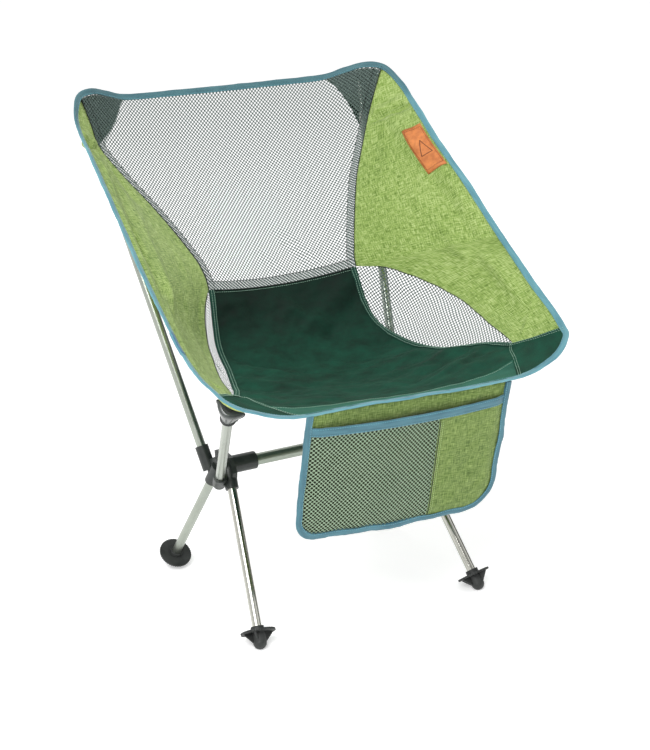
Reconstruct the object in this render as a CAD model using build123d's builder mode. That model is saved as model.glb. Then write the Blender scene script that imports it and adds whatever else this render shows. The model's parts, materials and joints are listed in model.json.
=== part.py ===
"""Ultralight backpacking chair: two moulded hubs on a crossbar, sprung pull-out legs, four upper poles and a
sewn bucket sling with a hanging organiser.

Millimetres, +Z up, +Y towards the backrest, origin on the floor under the middle of the chair. Left and right
are the sitter's view from the front, +X to the right. Paired pieces are modelled at +X and mirrored.
"""

import os
from math import cos, radians, sin

from build123d import *

os.makedirs("parts", exist_ok=True)

# ------------------------------------------------------------ driving dimensions

TUBE_D = 12.4  # legs and upper poles
TUBE_WALL = 1.0
CROSSBAR_D = 16.0
CROSSBAR_WALL = 1.2
RUNNING_GAP = 0.05  # radial clearance of a tube in its socket
CORD_D = 2.6  # elastic cord inside every tube
KNOT_D = 6.0

# where the axes of the frame meet, on the +X side
HUB_CENTRE = Vector(137.2, -3, 194)  # crossbar and front leg
REAR_KNEE = Vector(150.7, 17, 171)  # back pole and rear leg
FRONT_POLE_ROOT = Vector(149, 1, 167)
BACK_TIP = Vector(215, 259, 632)
FRONT_TIP = Vector(228.6, -200, 357.8)
FRONT_FOOT = Vector(167.2, -144.4, 19.3)  # centre of the foot's flange
REAR_FOOT = Vector(164.2, 118.4, 19.3)

SLEEVE_D = 18.0
COLLAR_D = 24.0
COLLAR_INNER_X = 97.5
COLLAR_OUTER_X = 136.0
CROSSBAR_END_X = 127.0
CORD_HOLE_D = 4.0
CORD_HOLE_DEPTH = 14.0

POLE_JOINT = 285.0  # ferrule joint of the back pole, from the rear knee
FERRULE_HALF = 34.0
FERRULE_D = 10.3
FERRULE_WALL = 0.8
PLUG_STEM = 12.0
PLUG_HEAD = 5.0
PLUG_LIP = 4.0  # wall of the plug that holds the cord's knot

BALL_D = 18.0
BALL_FLAT = 0.35  # how deep the ball is worn flat where it stands
FLANGE_D = 46.0
FLANGE_T = 2.6
FLANGE_TEETH = 44
TOOTH_DEPTH = 0.7
FOOT_COLLAR_D = 17.6
FOOT_COLLAR_H = 7.0
FOOT_SOCKET = 6.0  # depth of the tube in the foot, below the flange
FOOT_RIB_T = 2.4

CLOTH_T = 1.4
SEAM_GAP = 1.2  # from a cloth's edge to its seam line
BINDING_W = 8.0
BINDING_T = 3.2
PATCH_T = 1.6
PATCH_RAISE = 1.9  # label or corner layer above the middle of the cloth under it

POUCH_LENGTH = 62.0  # cloth pouch over the back pole's tip
POUCH_HALF_W = 21.0
POUCH_HALF_T = 8.4
POUCH_WALL = 1.2
CUP_LENGTH = 40.0  # moulded cup over the front pole's tip
CUP_HALF_W = 19.0
CUP_HALF_T = 9.2
CUP_NECK_D = 17.4

POCKET_HINGE = Vector(-4, -248, 349)
POCKET_LEAN = 9.0  # degrees that the organiser's lower edge hangs back
POCKET_W = 294.0
POCKET_TOP = 6.0  # from the hinge line to the organiser's top edge
POCKET_DEPTH = 184.0
POCKET_MOUTH = 31.0
POCKET_BAND_W = 10.0
POCKET_BULGE = 14.0
POCKET_DIVIDER_X = 44.0

# ------------------------------------------------------------ helpers


def along(start, end, distance):
    """The point at a distance from start towards end."""
    return start + (end - start).normalized() * distance


def across(start, end, distance=0.0):
    """The plane square to the line from start to end, at a distance from start."""
    return Plane(origin=along(start, end, distance), z_dir=end - start)


def write(piece, name):
    piece.label = name
    export_step(piece, f"parts/{name}.step")


def write_pair(piece, name):
    write(mirror(piece, about=Plane.YZ), f"{name}_left")
    write(piece, f"{name}_right")


def tube(start, end, first, last, diameter=TUBE_D, wall=TUBE_WALL):
    """A tube on the line from start to end, between two distances from start."""
    with BuildPart() as piece:
        with BuildSketch(across(start, end, first)):
            Circle(diameter / 2)
            Circle(diameter / 2 - wall, mode=Mode.SUBTRACT)
        extrude(amount=last - first)
    return piece.part


def knotted_cord(start, end, first, last):
    """An elastic cord on the line from start to end, with its knot at the last distance."""
    with BuildPart() as piece:
        with BuildSketch(across(start, end, first)):
            Circle(CORD_D / 2)
        extrude(amount=last - first)
        with Locations(along(start, end, last)):
            Sphere(KNOT_D / 2)
    return piece.part


def blend_row(left, middle, right, shares, power=2.0):
    """Points across the chair: flat at the middle and rising to the two ends."""
    row = []
    for share in shares:
        end = right if share > 0 else left
        lift = abs(share) ** power
        row.append(
            Vector(
                abs(share) * end.X,
                middle.Y + (end.Y - middle.Y) * lift,
                middle.Z + (end.Z - middle.Z) * lift,
            )
        )
    return row


def cloth(rows, thickness=CLOTH_T, raised=0.0, symmetric=False):
    """A closed sheet of triangles over a grid of points, optionally raised along its normals.

    A symmetric sheet's triangles are mirrored about its middle column.
    """
    count, width = len(rows), len(rows[0])

    def normal(i, j):
        down = rows[min(i + 1, count - 1)][j] - rows[max(i - 1, 0)][j]
        side = rows[i][min(j + 1, width - 1)] - rows[i][max(j - 1, 0)]
        return down.cross(side).normalized()

    def layer(height):
        return [[rows[i][j] + normal(i, j) * height for j in range(width)] for i in range(count)]

    upper, lower = layer(raised + thickness / 2), layer(raised - thickness / 2)
    faces = []

    def quad(a, b, c, d):
        faces.append(Face(Wire.make_polygon([a, b, c])))
        faces.append(Face(Wire.make_polygon([a, c, d])))

    for i in range(count - 1):
        for j in range(width - 1):
            for side in (upper, lower):
                corners = [side[i][j], side[i + 1][j], side[i + 1][j + 1], side[i][j + 1]]
                if symmetric and j < (width - 1) / 2:
                    corners = corners[1:] + corners[:1]
                quad(*corners)
    rim = [(i, 0) for i in range(count)]
    rim += [(count - 1, j) for j in range(1, width)]
    rim += [(i, width - 1) for i in range(count - 2, -1, -1)]
    rim += [(0, j) for j in range(width - 2, 0, -1)]
    for (a, b), (c, d) in zip(rim, rim[1:] + rim[:1]):
        quad(upper[a][b], lower[a][b], lower[c][d], upper[c][d])
    return Solid(Shell(faces))


# ------------------------------------------------------------ hubs and crossbar

# each socket: its line, where the tube's inner end sits and where its mouth is, as distances along the line
BACK_POLE = (REAR_KNEE, BACK_TIP, 15.0, 46.0)
FRONT_POLE = (FRONT_POLE_ROOT, FRONT_TIP, 8.0, 34.0)
FRONT_LEG = (HUB_CENTRE, FRONT_FOOT, 5.0, 33.0)
REAR_LEG = (REAR_KNEE, REAR_FOOT, -24.0, 6.0)
SOCKETS = [BACK_POLE, FRONT_POLE, FRONT_LEG, REAR_LEG]
CAP_T = 3.0  # closed end of each socket

WEB_X = 133.0
WEB_T = 7.0
CORE_T = 20.0
WEB_OUTLINE = [(32, 204), (12, 210), (-12, 208), (-23, 190), (-20, 165), (8, 166), (28, 172)]
CORE_OUTLINE = [(30, 192), (6, 206), (-10, 202), (-15, 186), (-12, 170), (12, 163), (26, 170)]

with BuildPart() as hub:
    with BuildSketch(Plane.YZ.offset(COLLAR_INNER_X)):
        with Locations((HUB_CENTRE.Y, HUB_CENTRE.Z)):
            Circle(COLLAR_D / 2)
    extrude(amount=COLLAR_OUTER_X - COLLAR_INNER_X)
    for outline, thickness in ((WEB_OUTLINE, WEB_T), (CORE_OUTLINE, CORE_T)):
        with BuildSketch(Plane.YZ.offset(WEB_X)):
            with BuildLine():
                Polyline(*outline, close=True)
            make_face()
        extrude(amount=thickness)
    for root, tip, inner, mouth in SOCKETS:
        with BuildSketch(across(root, tip, inner - CAP_T)):
            Circle(SLEEVE_D / 2)
        extrude(amount=mouth - inner + CAP_T)
    for root, tip, inner, mouth in SOCKETS:
        with BuildSketch(across(root, tip, inner)):
            Circle(TUBE_D / 2 + RUNNING_GAP)
        extrude(amount=mouth - inner + SLEEVE_D, mode=Mode.SUBTRACT)
        with BuildSketch(across(root, tip, inner - CORD_HOLE_DEPTH)):
            Circle(CORD_HOLE_D / 2)
        extrude(amount=CORD_HOLE_DEPTH + 1, mode=Mode.SUBTRACT)
    with BuildSketch(Plane.YZ.offset(COLLAR_INNER_X - 1)):
        with Locations((HUB_CENTRE.Y, HUB_CENTRE.Z)):
            Circle(CROSSBAR_D / 2 + RUNNING_GAP)
    extrude(amount=CROSSBAR_END_X + 1 - COLLAR_INNER_X, mode=Mode.SUBTRACT)
write_pair(hub.part, "hub")

with BuildPart() as crossbar:
    with BuildSketch(Plane.YZ.offset(-CROSSBAR_END_X)):
        with Locations((HUB_CENTRE.Y, HUB_CENTRE.Z)):
            Circle(CROSSBAR_D / 2)
            Circle(CROSSBAR_D / 2 - CROSSBAR_WALL, mode=Mode.SUBTRACT)
    extrude(amount=2 * CROSSBAR_END_X)
write(crossbar.part, "crossbar")

# ------------------------------------------------------------ upper poles

back_length = (BACK_TIP - REAR_KNEE).length
front_length = (FRONT_TIP - FRONT_POLE_ROOT).length

write_pair(tube(REAR_KNEE, BACK_TIP, BACK_POLE[2], POLE_JOINT - 0.1), "back_pole_lower")
write_pair(tube(REAR_KNEE, BACK_TIP, POLE_JOINT + 0.1, back_length), "back_pole_upper")
ferrule = tube(
    REAR_KNEE, BACK_TIP, POLE_JOINT - FERRULE_HALF, POLE_JOINT + FERRULE_HALF, FERRULE_D, FERRULE_WALL
)
write_pair(ferrule, "back_pole_ferrule")
write_pair(tube(FRONT_POLE_ROOT, FRONT_TIP, FRONT_POLE[2], front_length), "front_pole")

KNOT_SEAT = PLUG_LIP + KNOT_D / 2 + 0.4 - PLUG_STEM  # knot's centre, from the tube's end


def pole_plug(root, tip):
    """A tip plug: its stem in the tube, a domed head outside, and a recess that holds the cord's knot."""
    end = (tip - root).length
    with BuildPart() as plug:
        with BuildSketch(across(root, tip, end - PLUG_STEM)):
            Circle(TUBE_D / 2 - TUBE_WALL - RUNNING_GAP)
        extrude(amount=PLUG_STEM + 1)
        with BuildSketch(across(root, tip, end + 0.05)):
            Circle(TUBE_D / 2)
        extrude(amount=PLUG_HEAD)
        fillet(plug.edges().filter_by(GeomType.CIRCLE).sort_by(lambda e: (e.center() - root).length)[-1], 2.2)
        with BuildSketch(across(root, tip, end - PLUG_STEM - 1)):
            Circle(CORD_D / 2 + 0.2)
        extrude(amount=PLUG_LIP + 2, mode=Mode.SUBTRACT)
        with BuildSketch(across(root, tip, end - PLUG_STEM + PLUG_LIP)):
            Circle(KNOT_D / 2 + 0.3)
        extrude(amount=PLUG_STEM + PLUG_HEAD, mode=Mode.SUBTRACT)
    return plug.part


for name, (root, tip, inner, mouth) in (("back", BACK_POLE), ("front", FRONT_POLE)):
    write_pair(pole_plug(root, tip), f"{name}_pole_plug")
    write_pair(knotted_cord(root, tip, inner - 2, (tip - root).length + KNOT_SEAT), f"{name}_pole_cord")

# ------------------------------------------------------------ legs and feet


def foot(root, flange_centre):
    """A moulded foot: collar round the tube, toothed flange, four ribs and a ball that stands on the floor."""
    reach = (flange_centre - root).length
    slope = abs((flange_centre - root).normalized().Z)
    ball_drop = (flange_centre.Z - BALL_D / 2 + BALL_FLAT) / slope
    middle = across(root, flange_centre, reach)
    with BuildPart() as piece:
        with BuildSketch(middle.offset(-FOOT_COLLAR_H)):
            Circle(FOOT_COLLAR_D / 2)
        extrude(amount=FOOT_COLLAR_H)
        with BuildSketch(middle.offset(-FLANGE_T / 2)):
            Circle(FLANGE_D / 2)
            with PolarLocations(FLANGE_D / 2, FLANGE_TEETH):
                Circle(TOOTH_DEPTH, mode=Mode.SUBTRACT)
        extrude(amount=FLANGE_T)
        with BuildSketch(middle):
            Circle(BALL_D / 2)
        extrude(amount=ball_drop)
        with Locations(middle.offset(ball_drop).origin):
            Sphere(BALL_D / 2)
        for turn in (45, 135):
            rib_plane = Plane(origin=middle.origin, x_dir=middle.rotated((0, 0, turn)).x_dir, z_dir=middle.z_dir)
            blade = Plane(origin=middle.origin, x_dir=rib_plane.x_dir, z_dir=rib_plane.y_dir)
            with BuildSketch(blade):
                with BuildLine():
                    Polyline((0, 0), (20, 0), (19, -3), (9, -ball_drop), (-9, -ball_drop), (-19, -3), (-20, 0), close=True)
                make_face()
            extrude(amount=FOOT_RIB_T / 2, both=True)
        with BuildSketch(middle.offset(-FOOT_COLLAR_H - 1)):
            Circle(TUBE_D / 2 + RUNNING_GAP)
        extrude(amount=FOOT_COLLAR_H + 1 + FOOT_SOCKET, mode=Mode.SUBTRACT)
        with BuildSketch(middle.offset(FOOT_SOCKET - 1)):
            Circle(CORD_D / 2 + 0.2)
        extrude(amount=ball_drop - FOOT_SOCKET, mode=Mode.SUBTRACT)
        with Locations(middle.offset(ball_drop - 1).origin):
            Sphere(KNOT_D / 2 + 0.4, mode=Mode.SUBTRACT)
        with BuildSketch(Plane.XY):
            with Locations((flange_centre.X, flange_centre.Y)):
                Rectangle(4 * FLANGE_D, 4 * FLANGE_D)
        extrude(amount=-BALL_D, mode=Mode.SUBTRACT)
    return piece.part, ball_drop


for name, (root, flange_centre, inner, mouth) in (("front_leg", FRONT_LEG), ("rear_leg", REAR_LEG)):
    reach = (flange_centre - root).length
    foot_part, ball_drop = foot(root, flange_centre)
    write_pair(tube(root, flange_centre, inner, reach + FOOT_SOCKET), name)
    write_pair(foot_part, f"{name}_foot")
    write_pair(knotted_cord(root, flange_centre, inner - 10, reach + ball_drop - 1), f"{name}_cord")

# ------------------------------------------------------------ sling

# Each row crosses the sling from its middle to its right edge: middle (y, z), seam point, outer edge point.
# Rows 0 to 8 are the backrest, 8 to 13 the seat; the seam is where the side panel is sewn on.
MESH_END = 8
ROWS = [
    ((262, 642), (230, 229, 652), (240, 220, 659)),
    ((255, 607), (218.6, 225.5, 617), (250.5, 198, 637.5)),
    ((246, 575), (209, 223, 587), (253.5, 174, 618)),
    ((224, 534), (184, 198, 547), (254, 147, 600)),
    ((201, 503), (162.6, 174, 517), (254.5, 112, 575)),
    ((173, 472), (144, 147, 487), (256, 72, 549.5)),
    ((144, 442), (127.7, 121, 457), (258, 32, 524)),
    ((127, 423), (119, 106, 437), (259, -7, 497)),
    ((106, 396), (114.5, 92.6, 409), (259.5, -48, 470)),
    ((64, 345), (123.2, 57, 344.5), (259.8, -76, 453)),
    ((16, 311), (136.8, -3, 327), (260, -100, 438)),
    ((-66, 309), (158, -63, 327.7), (260.3, -131, 419)),
    ((-130, 318), (185, -123, 348), (257.8, -176, 398)),
    ((-184, 331), (205, -162, 357), (250.5, -209, 385.5)),
]
# the front strip of the seat runs from corner to corner: middle (y, z), corner point, how late it rises, inset
FRONT_ROWS = [((-216, 340.5), (228, -187, 370), 3.0, 1.2), ((-248, 348), (244, -221, 380.5), 4.0, 6.0)]
# the top edge and its rounded corner, from the middle to the side
TOP_EDGE = [(0, 262, 644), (80, 261, 644.5), (153, 259, 646), (185, 250, 655), (211, 236, 663), (236, 223, 659)]
TOP_EDGE_INNER = [(0, 255, 607), (80, 255, 607), (140, 249, 607), (165, 242, 607), (195, 231, 620), (215, 221, 635)]
# share of a row, from the seam outwards, that the side mesh takes
MESH_SHARE = {8.3: 0.2, 9: 0.46, 10: 0.49, 11: 0.45, 12: 0.26, 12.7: 0.09}

middles = [Vector(0, y, z) for (y, z), seam, outer in ROWS]
seams = [Vector(*seam) for middle, seam, outer in ROWS]
outers = [Vector(*outer) for middle, seam, outer in ROWS]
EDGE_INSET = BINDING_W / 2 + 2.4
SPAN_SHARES = (-1, -0.8, -0.6, -0.4, -0.2, 0, 0.2, 0.4, 0.6, 0.8, 1)


def between(points, row):
    """The point at a fractional row number."""
    low = min(int(row), len(points) - 2)
    return points[low] + (points[low + 1] - points[low]) * (row - low)


def side_point(row, share):
    """A point on the right side panel, at a share of the way from the seam to the outer edge."""
    return between(seams, row) + (between(outers, row) - between(seams, row)) * share


def mirrored(point):
    return Vector(-point.X, point.Y, point.Z)


def inset(start, end, gap):
    """Start moved towards end by a gap."""
    return along(start, end, gap)


def span(middle, right_end, power=2.0, shares=SPAN_SHARES):
    return blend_row(mirrored(right_end), middle, right_end, shares, power)


def top_edge_point(x):
    """The point of the top edge at a distance from the chair's middle plane."""
    for (x0, y0, z0), (x1, y1, z1) in zip(TOP_EDGE, TOP_EDGE[1:]):
        if abs(x) <= x1:
            share = (abs(x) - x0) / (x1 - x0)
            return Vector(x, y0 + (y1 - y0) * share, z0 + (z1 - z0) * share)
    return Vector(x, y1, z1)


mesh_rows = []
for index in range(MESH_END + 1):
    edge = inset(seams[index], middles[index], SEAM_GAP)
    mesh_rows.append(span(middles[index], edge))
mesh_rows[0] = [top_edge_point(point.X) - Vector(0, 0, EDGE_INSET + 1) for point in mesh_rows[0]]
mesh_rows[-1] = [point + Vector(0, 0, SEAM_GAP) for point in mesh_rows[-1]]
with BuildPart() as back_mesh:
    add(cloth(mesh_rows, symmetric=True))
write(back_mesh.part, "back_mesh")

seat_rows = []
for index in range(MESH_END, len(ROWS)):
    edge = inset(seams[index], middles[index], SEAM_GAP)
    seat_rows.append(span(middles[index], edge))
seat_rows[0] = [point - Vector(0, 0, SEAM_GAP) for point in seat_rows[0]]
for (y, z), corner, power, gap in FRONT_ROWS:
    middle, corner = Vector(0, y, z), Vector(*corner)
    seat_rows.append(span(middle, inset(corner, middle, gap), power))
seat_rows[-1] = [point + Vector(0, EDGE_INSET, 0) for point in seat_rows[-1]]
with BuildPart() as seat_panel:
    add(cloth(seat_rows, symmetric=True))
write(seat_panel.part, "seat_panel")


def mesh_share(row):
    """Where the side mesh ends and the green cloth starts on a row."""
    return MESH_SHARE.get(row, 0.0)


side_rows = []
for row in (0.42, 1, 2, 3, 4, 5, 6, 7, 8, 8.3, 9, 10, 11, 12, 12.7, 13):
    seam, outer = side_point(row, 0), side_point(row, 1)
    length = (outer - seam).length
    first = mesh_share(row) + SEAM_GAP / length
    last = 1 - min(EDGE_INSET, 0.45 * length) / length
    side_rows.append([side_point(row, first + (last - first) * step / 4) for step in range(5)])
side_rows[-1] = [point + Vector(0, SEAM_GAP, 0) for point in side_rows[-1]]
with BuildPart() as side_panel:
    add(cloth(side_rows))
write_pair(side_panel.part, "side_panel")

side_mesh_rows = []
for row, share in MESH_SHARE.items():
    length = (side_point(row, 1) - side_point(row, 0)).length
    first, last = SEAM_GAP / length, share - SEAM_GAP / length
    side_mesh_rows.append([side_point(row, first + (last - first) * step / 3) for step in range(4)])
with BuildPart() as side_mesh:
    add(cloth(side_mesh_rows))
write_pair(side_mesh.part, "side_mesh")

# the binding is one tape whose ends meet half way down the left side
edge_half = [(Vector(*point), Vector(*inner)) for point, inner in zip(TOP_EDGE, TOP_EDGE_INNER)]
edge_half += [(outer, seam) for outer, seam in zip(outers[1:], seams[1:])]
edge_half.append((Vector(243, -223.5, 381), Vector(228, -191, 370)))
for x, y, z in ((220, -236, 366), (170, -244, 351), (110, -247, 348)):
    edge_half.append((Vector(x, y, z), Vector(x * 0.93, y + 30, z - 6)))
front_middle = (Vector(0, -248, 348), Vector(0, -216, 341))
left_half = [(mirrored(point), mirrored(inner)) for point, inner in edge_half[1:]]
TAPE_START = 13
TAPE_END_GAP = 0.3
(before, before_inner), (after, after_inner) = left_half[TAPE_START - 1], left_half[TAPE_START]
middle_length = (after - before).length / 2
tape_ends = [
    (along(before, after, middle_length + shift), along(before_inner, after_inner, middle_length + shift))
    for shift in (-TAPE_END_GAP, TAPE_END_GAP)
]
loop = tape_ends[:1] + left_half[:TAPE_START][::-1] + edge_half + [front_middle]
loop += left_half[TAPE_START:][::-1] + tape_ends[1:]
tape_rows = [
    [point + (point - inner).normalized() * reach for reach in (-BINDING_W / 2, BINDING_W / 2)]
    for point, inner in loop
]
with BuildPart() as edge_binding:
    add(cloth(tape_rows, BINDING_T))
write(edge_binding.part, "edge_binding")

# second layer of mesh in each top corner, and the leather label on the right side panel


def mesh_point(row, share):
    """A point on the back mesh at a fractional row, at a share of the way from its middle to its right edge."""
    column = (share + 1) / 2 * (len(SPAN_SHARES) - 1)
    low = min(int(row), MESH_END - 1)
    upper, lower = between(mesh_rows[low], column), between(mesh_rows[low + 1], column)
    return upper + (lower - upper) * (row - low)


corner_rows = []
for row in (0.1, 0.5, 1.0, 1.5):
    start = 0.68 + 0.15 * row
    corner_rows.append([mesh_point(row, start + (0.98 - start) * step / 3) for step in range(4)])
with BuildPart() as corner_layer:
    add(cloth(corner_rows, CLOTH_T, PATCH_RAISE))
write_pair(corner_layer.part, "top_corner_layer")

label_rows = []
for row, low, high in ((3.2, 0.625, 0.85), (3.83, 0.65, 0.86), (4.47, 0.675, 0.865), (5.1, 0.70, 0.875)):
    label_rows.append([side_point(row, low + (high - low) * step / 2) for step in range(3)])
with BuildPart() as label_patch:
    add(cloth(label_rows, PATCH_T, PATCH_RAISE))
write(label_patch.part, "label_patch")

# ------------------------------------------------------------ what holds the pole tips in the sling's corners


def flat_to(root, tip, distance, normal):
    """A plane square to a pole, whose x axis lies flat along cloth of the given normal."""
    direction = (tip - root).normalized()
    return Plane(origin=along(root, tip, distance), x_dir=direction.cross(normal), z_dir=direction)


BACK_CLOTH_NORMAL = Vector(0.25, 0.93, -0.1)
FRONT_CLOTH_NORMAL = Vector(-0.55, 0.01, 0.83)

with BuildPart() as back_corner_pouch:
    end = back_length + PLUG_HEAD + 2
    for mode, wall, first, last in (
        (Mode.ADD, 0.0, end - POUCH_LENGTH, end + POUCH_WALL),
        (Mode.SUBTRACT, POUCH_WALL, end - POUCH_LENGTH - 0.01, end),
    ):
        with BuildSketch(flat_to(REAR_KNEE, BACK_TIP, first, BACK_CLOTH_NORMAL)):
            Ellipse(POUCH_HALF_W - wall, POUCH_HALF_T - wall)
        with BuildSketch(flat_to(REAR_KNEE, BACK_TIP, last, BACK_CLOTH_NORMAL)):
            Ellipse(12.0 - wall, POUCH_HALF_T - wall)
        loft(mode=mode)
write_pair(back_corner_pouch.part, "back_corner_pouch")

with BuildPart() as front_corner_cup:
    end = front_length + PLUG_HEAD
    with BuildSketch(flat_to(FRONT_POLE_ROOT, FRONT_TIP, end - CUP_LENGTH, FRONT_CLOTH_NORMAL)):
        Circle(CUP_NECK_D / 2)
    with BuildSketch(flat_to(FRONT_POLE_ROOT, FRONT_TIP, end + 3, FRONT_CLOTH_NORMAL)):
        Ellipse(CUP_HALF_W, CUP_HALF_T)
    loft()
    with BuildSketch(across(FRONT_POLE_ROOT, FRONT_TIP, end - CUP_LENGTH - 1)):
        Circle(TUBE_D / 2 + RUNNING_GAP)
    extrude(amount=CUP_LENGTH + 1.5, mode=Mode.SUBTRACT)
write_pair(front_corner_cup.part, "front_corner_cup")

# ------------------------------------------------------------ organiser, hung from the front edge

lean = radians(POCKET_LEAN)
POCKET_PLANE = Plane(origin=POCKET_HINGE, x_dir=(1, 0, 0), z_dir=(0, -cos(lean), -sin(lean)))
POCKET_RADII = (26.0, 44.0)  # lower corners, left and right
HALF_W = POCKET_W / 2
LOW = -POCKET_DEPTH
BAND_LOW = -POCKET_MOUTH - POCKET_BAND_W
PANEL_HALF = HALF_W - BINDING_W - 0.4
PANEL_LOW = LOW + BINDING_W + 0.4


def organiser_outline(margin):
    """The organiser's outline: straight top and sides, two rounded lower corners."""
    right, left, low = HALF_W - margin, margin - HALF_W, LOW + margin
    left_radius, right_radius = (radius - margin for radius in POCKET_RADII)
    with BuildLine() as outline:
        Line((left, -POCKET_TOP), (right, -POCKET_TOP))
        Line((right, -POCKET_TOP), (right, low + right_radius))
        RadiusArc((right, low + right_radius), (right - right_radius, low), right_radius)
        Line((right - right_radius, low), (left + left_radius, low))
        RadiusArc((left + left_radius, low), (left, low + left_radius), left_radius)
        Line((left, low + left_radius), (left, -POCKET_TOP))
    return outline


with BuildPart() as pocket_back_panel:
    with BuildSketch(POCKET_PLANE.offset(0.4)):
        with BuildLine():
            add(organiser_outline(BINDING_W + 0.3).line)
        make_face()
    extrude(amount=CLOTH_T)
write(pocket_back_panel.part, "pocket_back_panel")

with BuildPart() as pocket_binding:
    with BuildSketch(POCKET_PLANE.offset(-0.4)):
        with BuildLine():
            add(organiser_outline(0).line)
        make_face()
        with BuildLine(mode=Mode.PRIVATE) as inner_outline:
            add(organiser_outline(BINDING_W).line)
        make_face(inner_outline.edges(), mode=Mode.SUBTRACT)
        with Locations((0, -POCKET_TOP)):
            Rectangle(POCKET_W - 2 * BINDING_W, 2 * BINDING_W + 1, mode=Mode.SUBTRACT)
    extrude(amount=CLOTH_T * 2 + 1.6)
write(pocket_binding.part, "pocket_binding")


def corner_low(x):
    """How low the front panels reach at a place across the organiser."""
    radius = POCKET_RADII[0] if x < 0 else POCKET_RADII[1]
    past = abs(x) - (HALF_W - radius)
    if past <= 0:
        return PANEL_LOW
    inner = radius - BINDING_W - 0.4
    return LOW + radius - (max(inner**2 - past**2, 0.0)) ** 0.5


def bulge_point(x, y):
    """A point on the organiser's front, which stands off the back panel most at its mouth."""
    side = 1 - (x / PANEL_HALF) ** 2
    drop = max((y - PANEL_LOW) / (BAND_LOW - PANEL_LOW), 0.0)
    height = 3.0 + POCKET_BULGE * side * min(drop, 1.0) ** 0.8
    return POCKET_PLANE.from_local_coords(Vector(x, y, height))


def front_panel(left, right, columns):
    rows = []
    for step in range(8):
        xs = [left + (right - left) * column / (columns - 1) for column in range(columns)]
        top = BAND_LOW - 0.4
        rows.append([bulge_point(x, top + (corner_low(x) - top) * step / 7) for x in xs])
    return rows


with BuildPart() as pocket_front_mesh:
    add(cloth(front_panel(-PANEL_HALF, POCKET_DIVIDER_X - 0.5, 10)))
write(pocket_front_mesh.part, "pocket_front_mesh")

with BuildPart() as pocket_front_cloth:
    add(cloth(front_panel(POCKET_DIVIDER_X + 0.5, PANEL_HALF, 8)))
write(pocket_front_cloth.part, "pocket_front_cloth")

band_xs = [-PANEL_HALF + PANEL_HALF * column / 7 for column in range(15)]
band_rows = [[bulge_point(x, y) for x in band_xs] for y in (-POCKET_MOUTH, BAND_LOW)]
with BuildPart() as pocket_mouth_band:
    add(cloth(band_rows, CLOTH_T + 0.8))
write(pocket_mouth_band.part, "pocket_mouth_band")
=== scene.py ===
"""Looks of the ultralight backpacking chair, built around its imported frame.

Metres, +Z up, +Y towards the backrest, in the frame's own place. The sling's outline points are in millimetres and
are the same as in the CAD model; `MM` turns them into metres. Left and right are as seen from the front.
"""

import json
import math
from functools import reduce

import bpy
import numpy as np
from mathutils import Matrix, Vector, noise


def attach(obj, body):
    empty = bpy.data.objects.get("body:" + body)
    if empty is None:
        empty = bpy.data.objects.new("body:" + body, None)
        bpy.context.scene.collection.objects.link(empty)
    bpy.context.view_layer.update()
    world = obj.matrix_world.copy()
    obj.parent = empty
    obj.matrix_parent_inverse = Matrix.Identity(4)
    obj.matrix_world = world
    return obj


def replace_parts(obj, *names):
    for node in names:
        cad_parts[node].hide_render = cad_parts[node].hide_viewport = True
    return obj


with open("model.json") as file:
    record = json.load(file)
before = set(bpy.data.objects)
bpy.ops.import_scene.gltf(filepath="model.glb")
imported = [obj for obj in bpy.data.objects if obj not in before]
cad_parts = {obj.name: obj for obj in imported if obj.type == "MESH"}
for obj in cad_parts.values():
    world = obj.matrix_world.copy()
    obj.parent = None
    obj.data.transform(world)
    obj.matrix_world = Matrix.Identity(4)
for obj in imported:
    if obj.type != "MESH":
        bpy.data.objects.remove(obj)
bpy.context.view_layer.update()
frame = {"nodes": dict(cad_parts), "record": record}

MM = 0.001
SLING_BODY = "frame_and_sling"
POCKET_BODY = "organiser"

# ------------------------------------------------------------ camera, floor and light

CAMERA_PLACE = (-1.0368, -1.8727, 1.0834)
CAMERA_AZIMUTH = -29.27
CAMERA_ELEVATION = 20.18
CAMERA_LENS = 81.03
FLAG_SIDE = (0.872, -0.489, 0.0)  # where a dark flag stands, which only shiny surfaces see
FLAG_DEPTH = 0.85
SKY_LIGHT = 0.62
FLOOR_HALF = 12.0
LAMP_TARGET = (0, 0, 0.35)
LAMPS = {  # place, size, watts
    "key": ((-1.6, -1.5, 2.2), (1.2, 1.2), 52),
    "fill": ((1.9, -1.6, 1.3), (1.4, 1.8), 8),
    "back": ((0.6, 2.2, 1.9), (2.0, 1.2), 12),
}


def make_camera():
    """The photograph's viewing angle: from the front and a little to the left, looking down."""
    data = bpy.data.cameras.new("camera")
    data.lens = CAMERA_LENS
    data.sensor_width = 36.0
    camera = bpy.data.objects.new("camera", data)
    azimuth, elevation = math.radians(CAMERA_AZIMUTH), math.radians(CAMERA_ELEVATION)
    forward = Vector((
        -math.sin(azimuth) * math.cos(elevation),
        math.cos(azimuth) * math.cos(elevation),
        -math.sin(elevation),
    ))
    camera.location = CAMERA_PLACE
    camera.rotation_mode = "QUATERNION"
    camera.rotation_quaternion = forward.to_track_quat("-Z", "Y")
    bpy.context.scene.collection.objects.link(camera)
    bpy.context.scene.camera = camera


def area_light(name, place, size, power):
    data = bpy.data.lights.new(name, "AREA")
    data.shape = "RECTANGLE"
    data.size, data.size_y = size
    data.energy = power
    lamp = bpy.data.objects.new(name, data)
    lamp.location = place
    lamp.rotation_mode = "QUATERNION"
    lamp.rotation_quaternion = (Vector(LAMP_TARGET) - Vector(place)).to_track_quat("-Z", "Y")
    bpy.context.scene.collection.objects.link(lamp)


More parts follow.
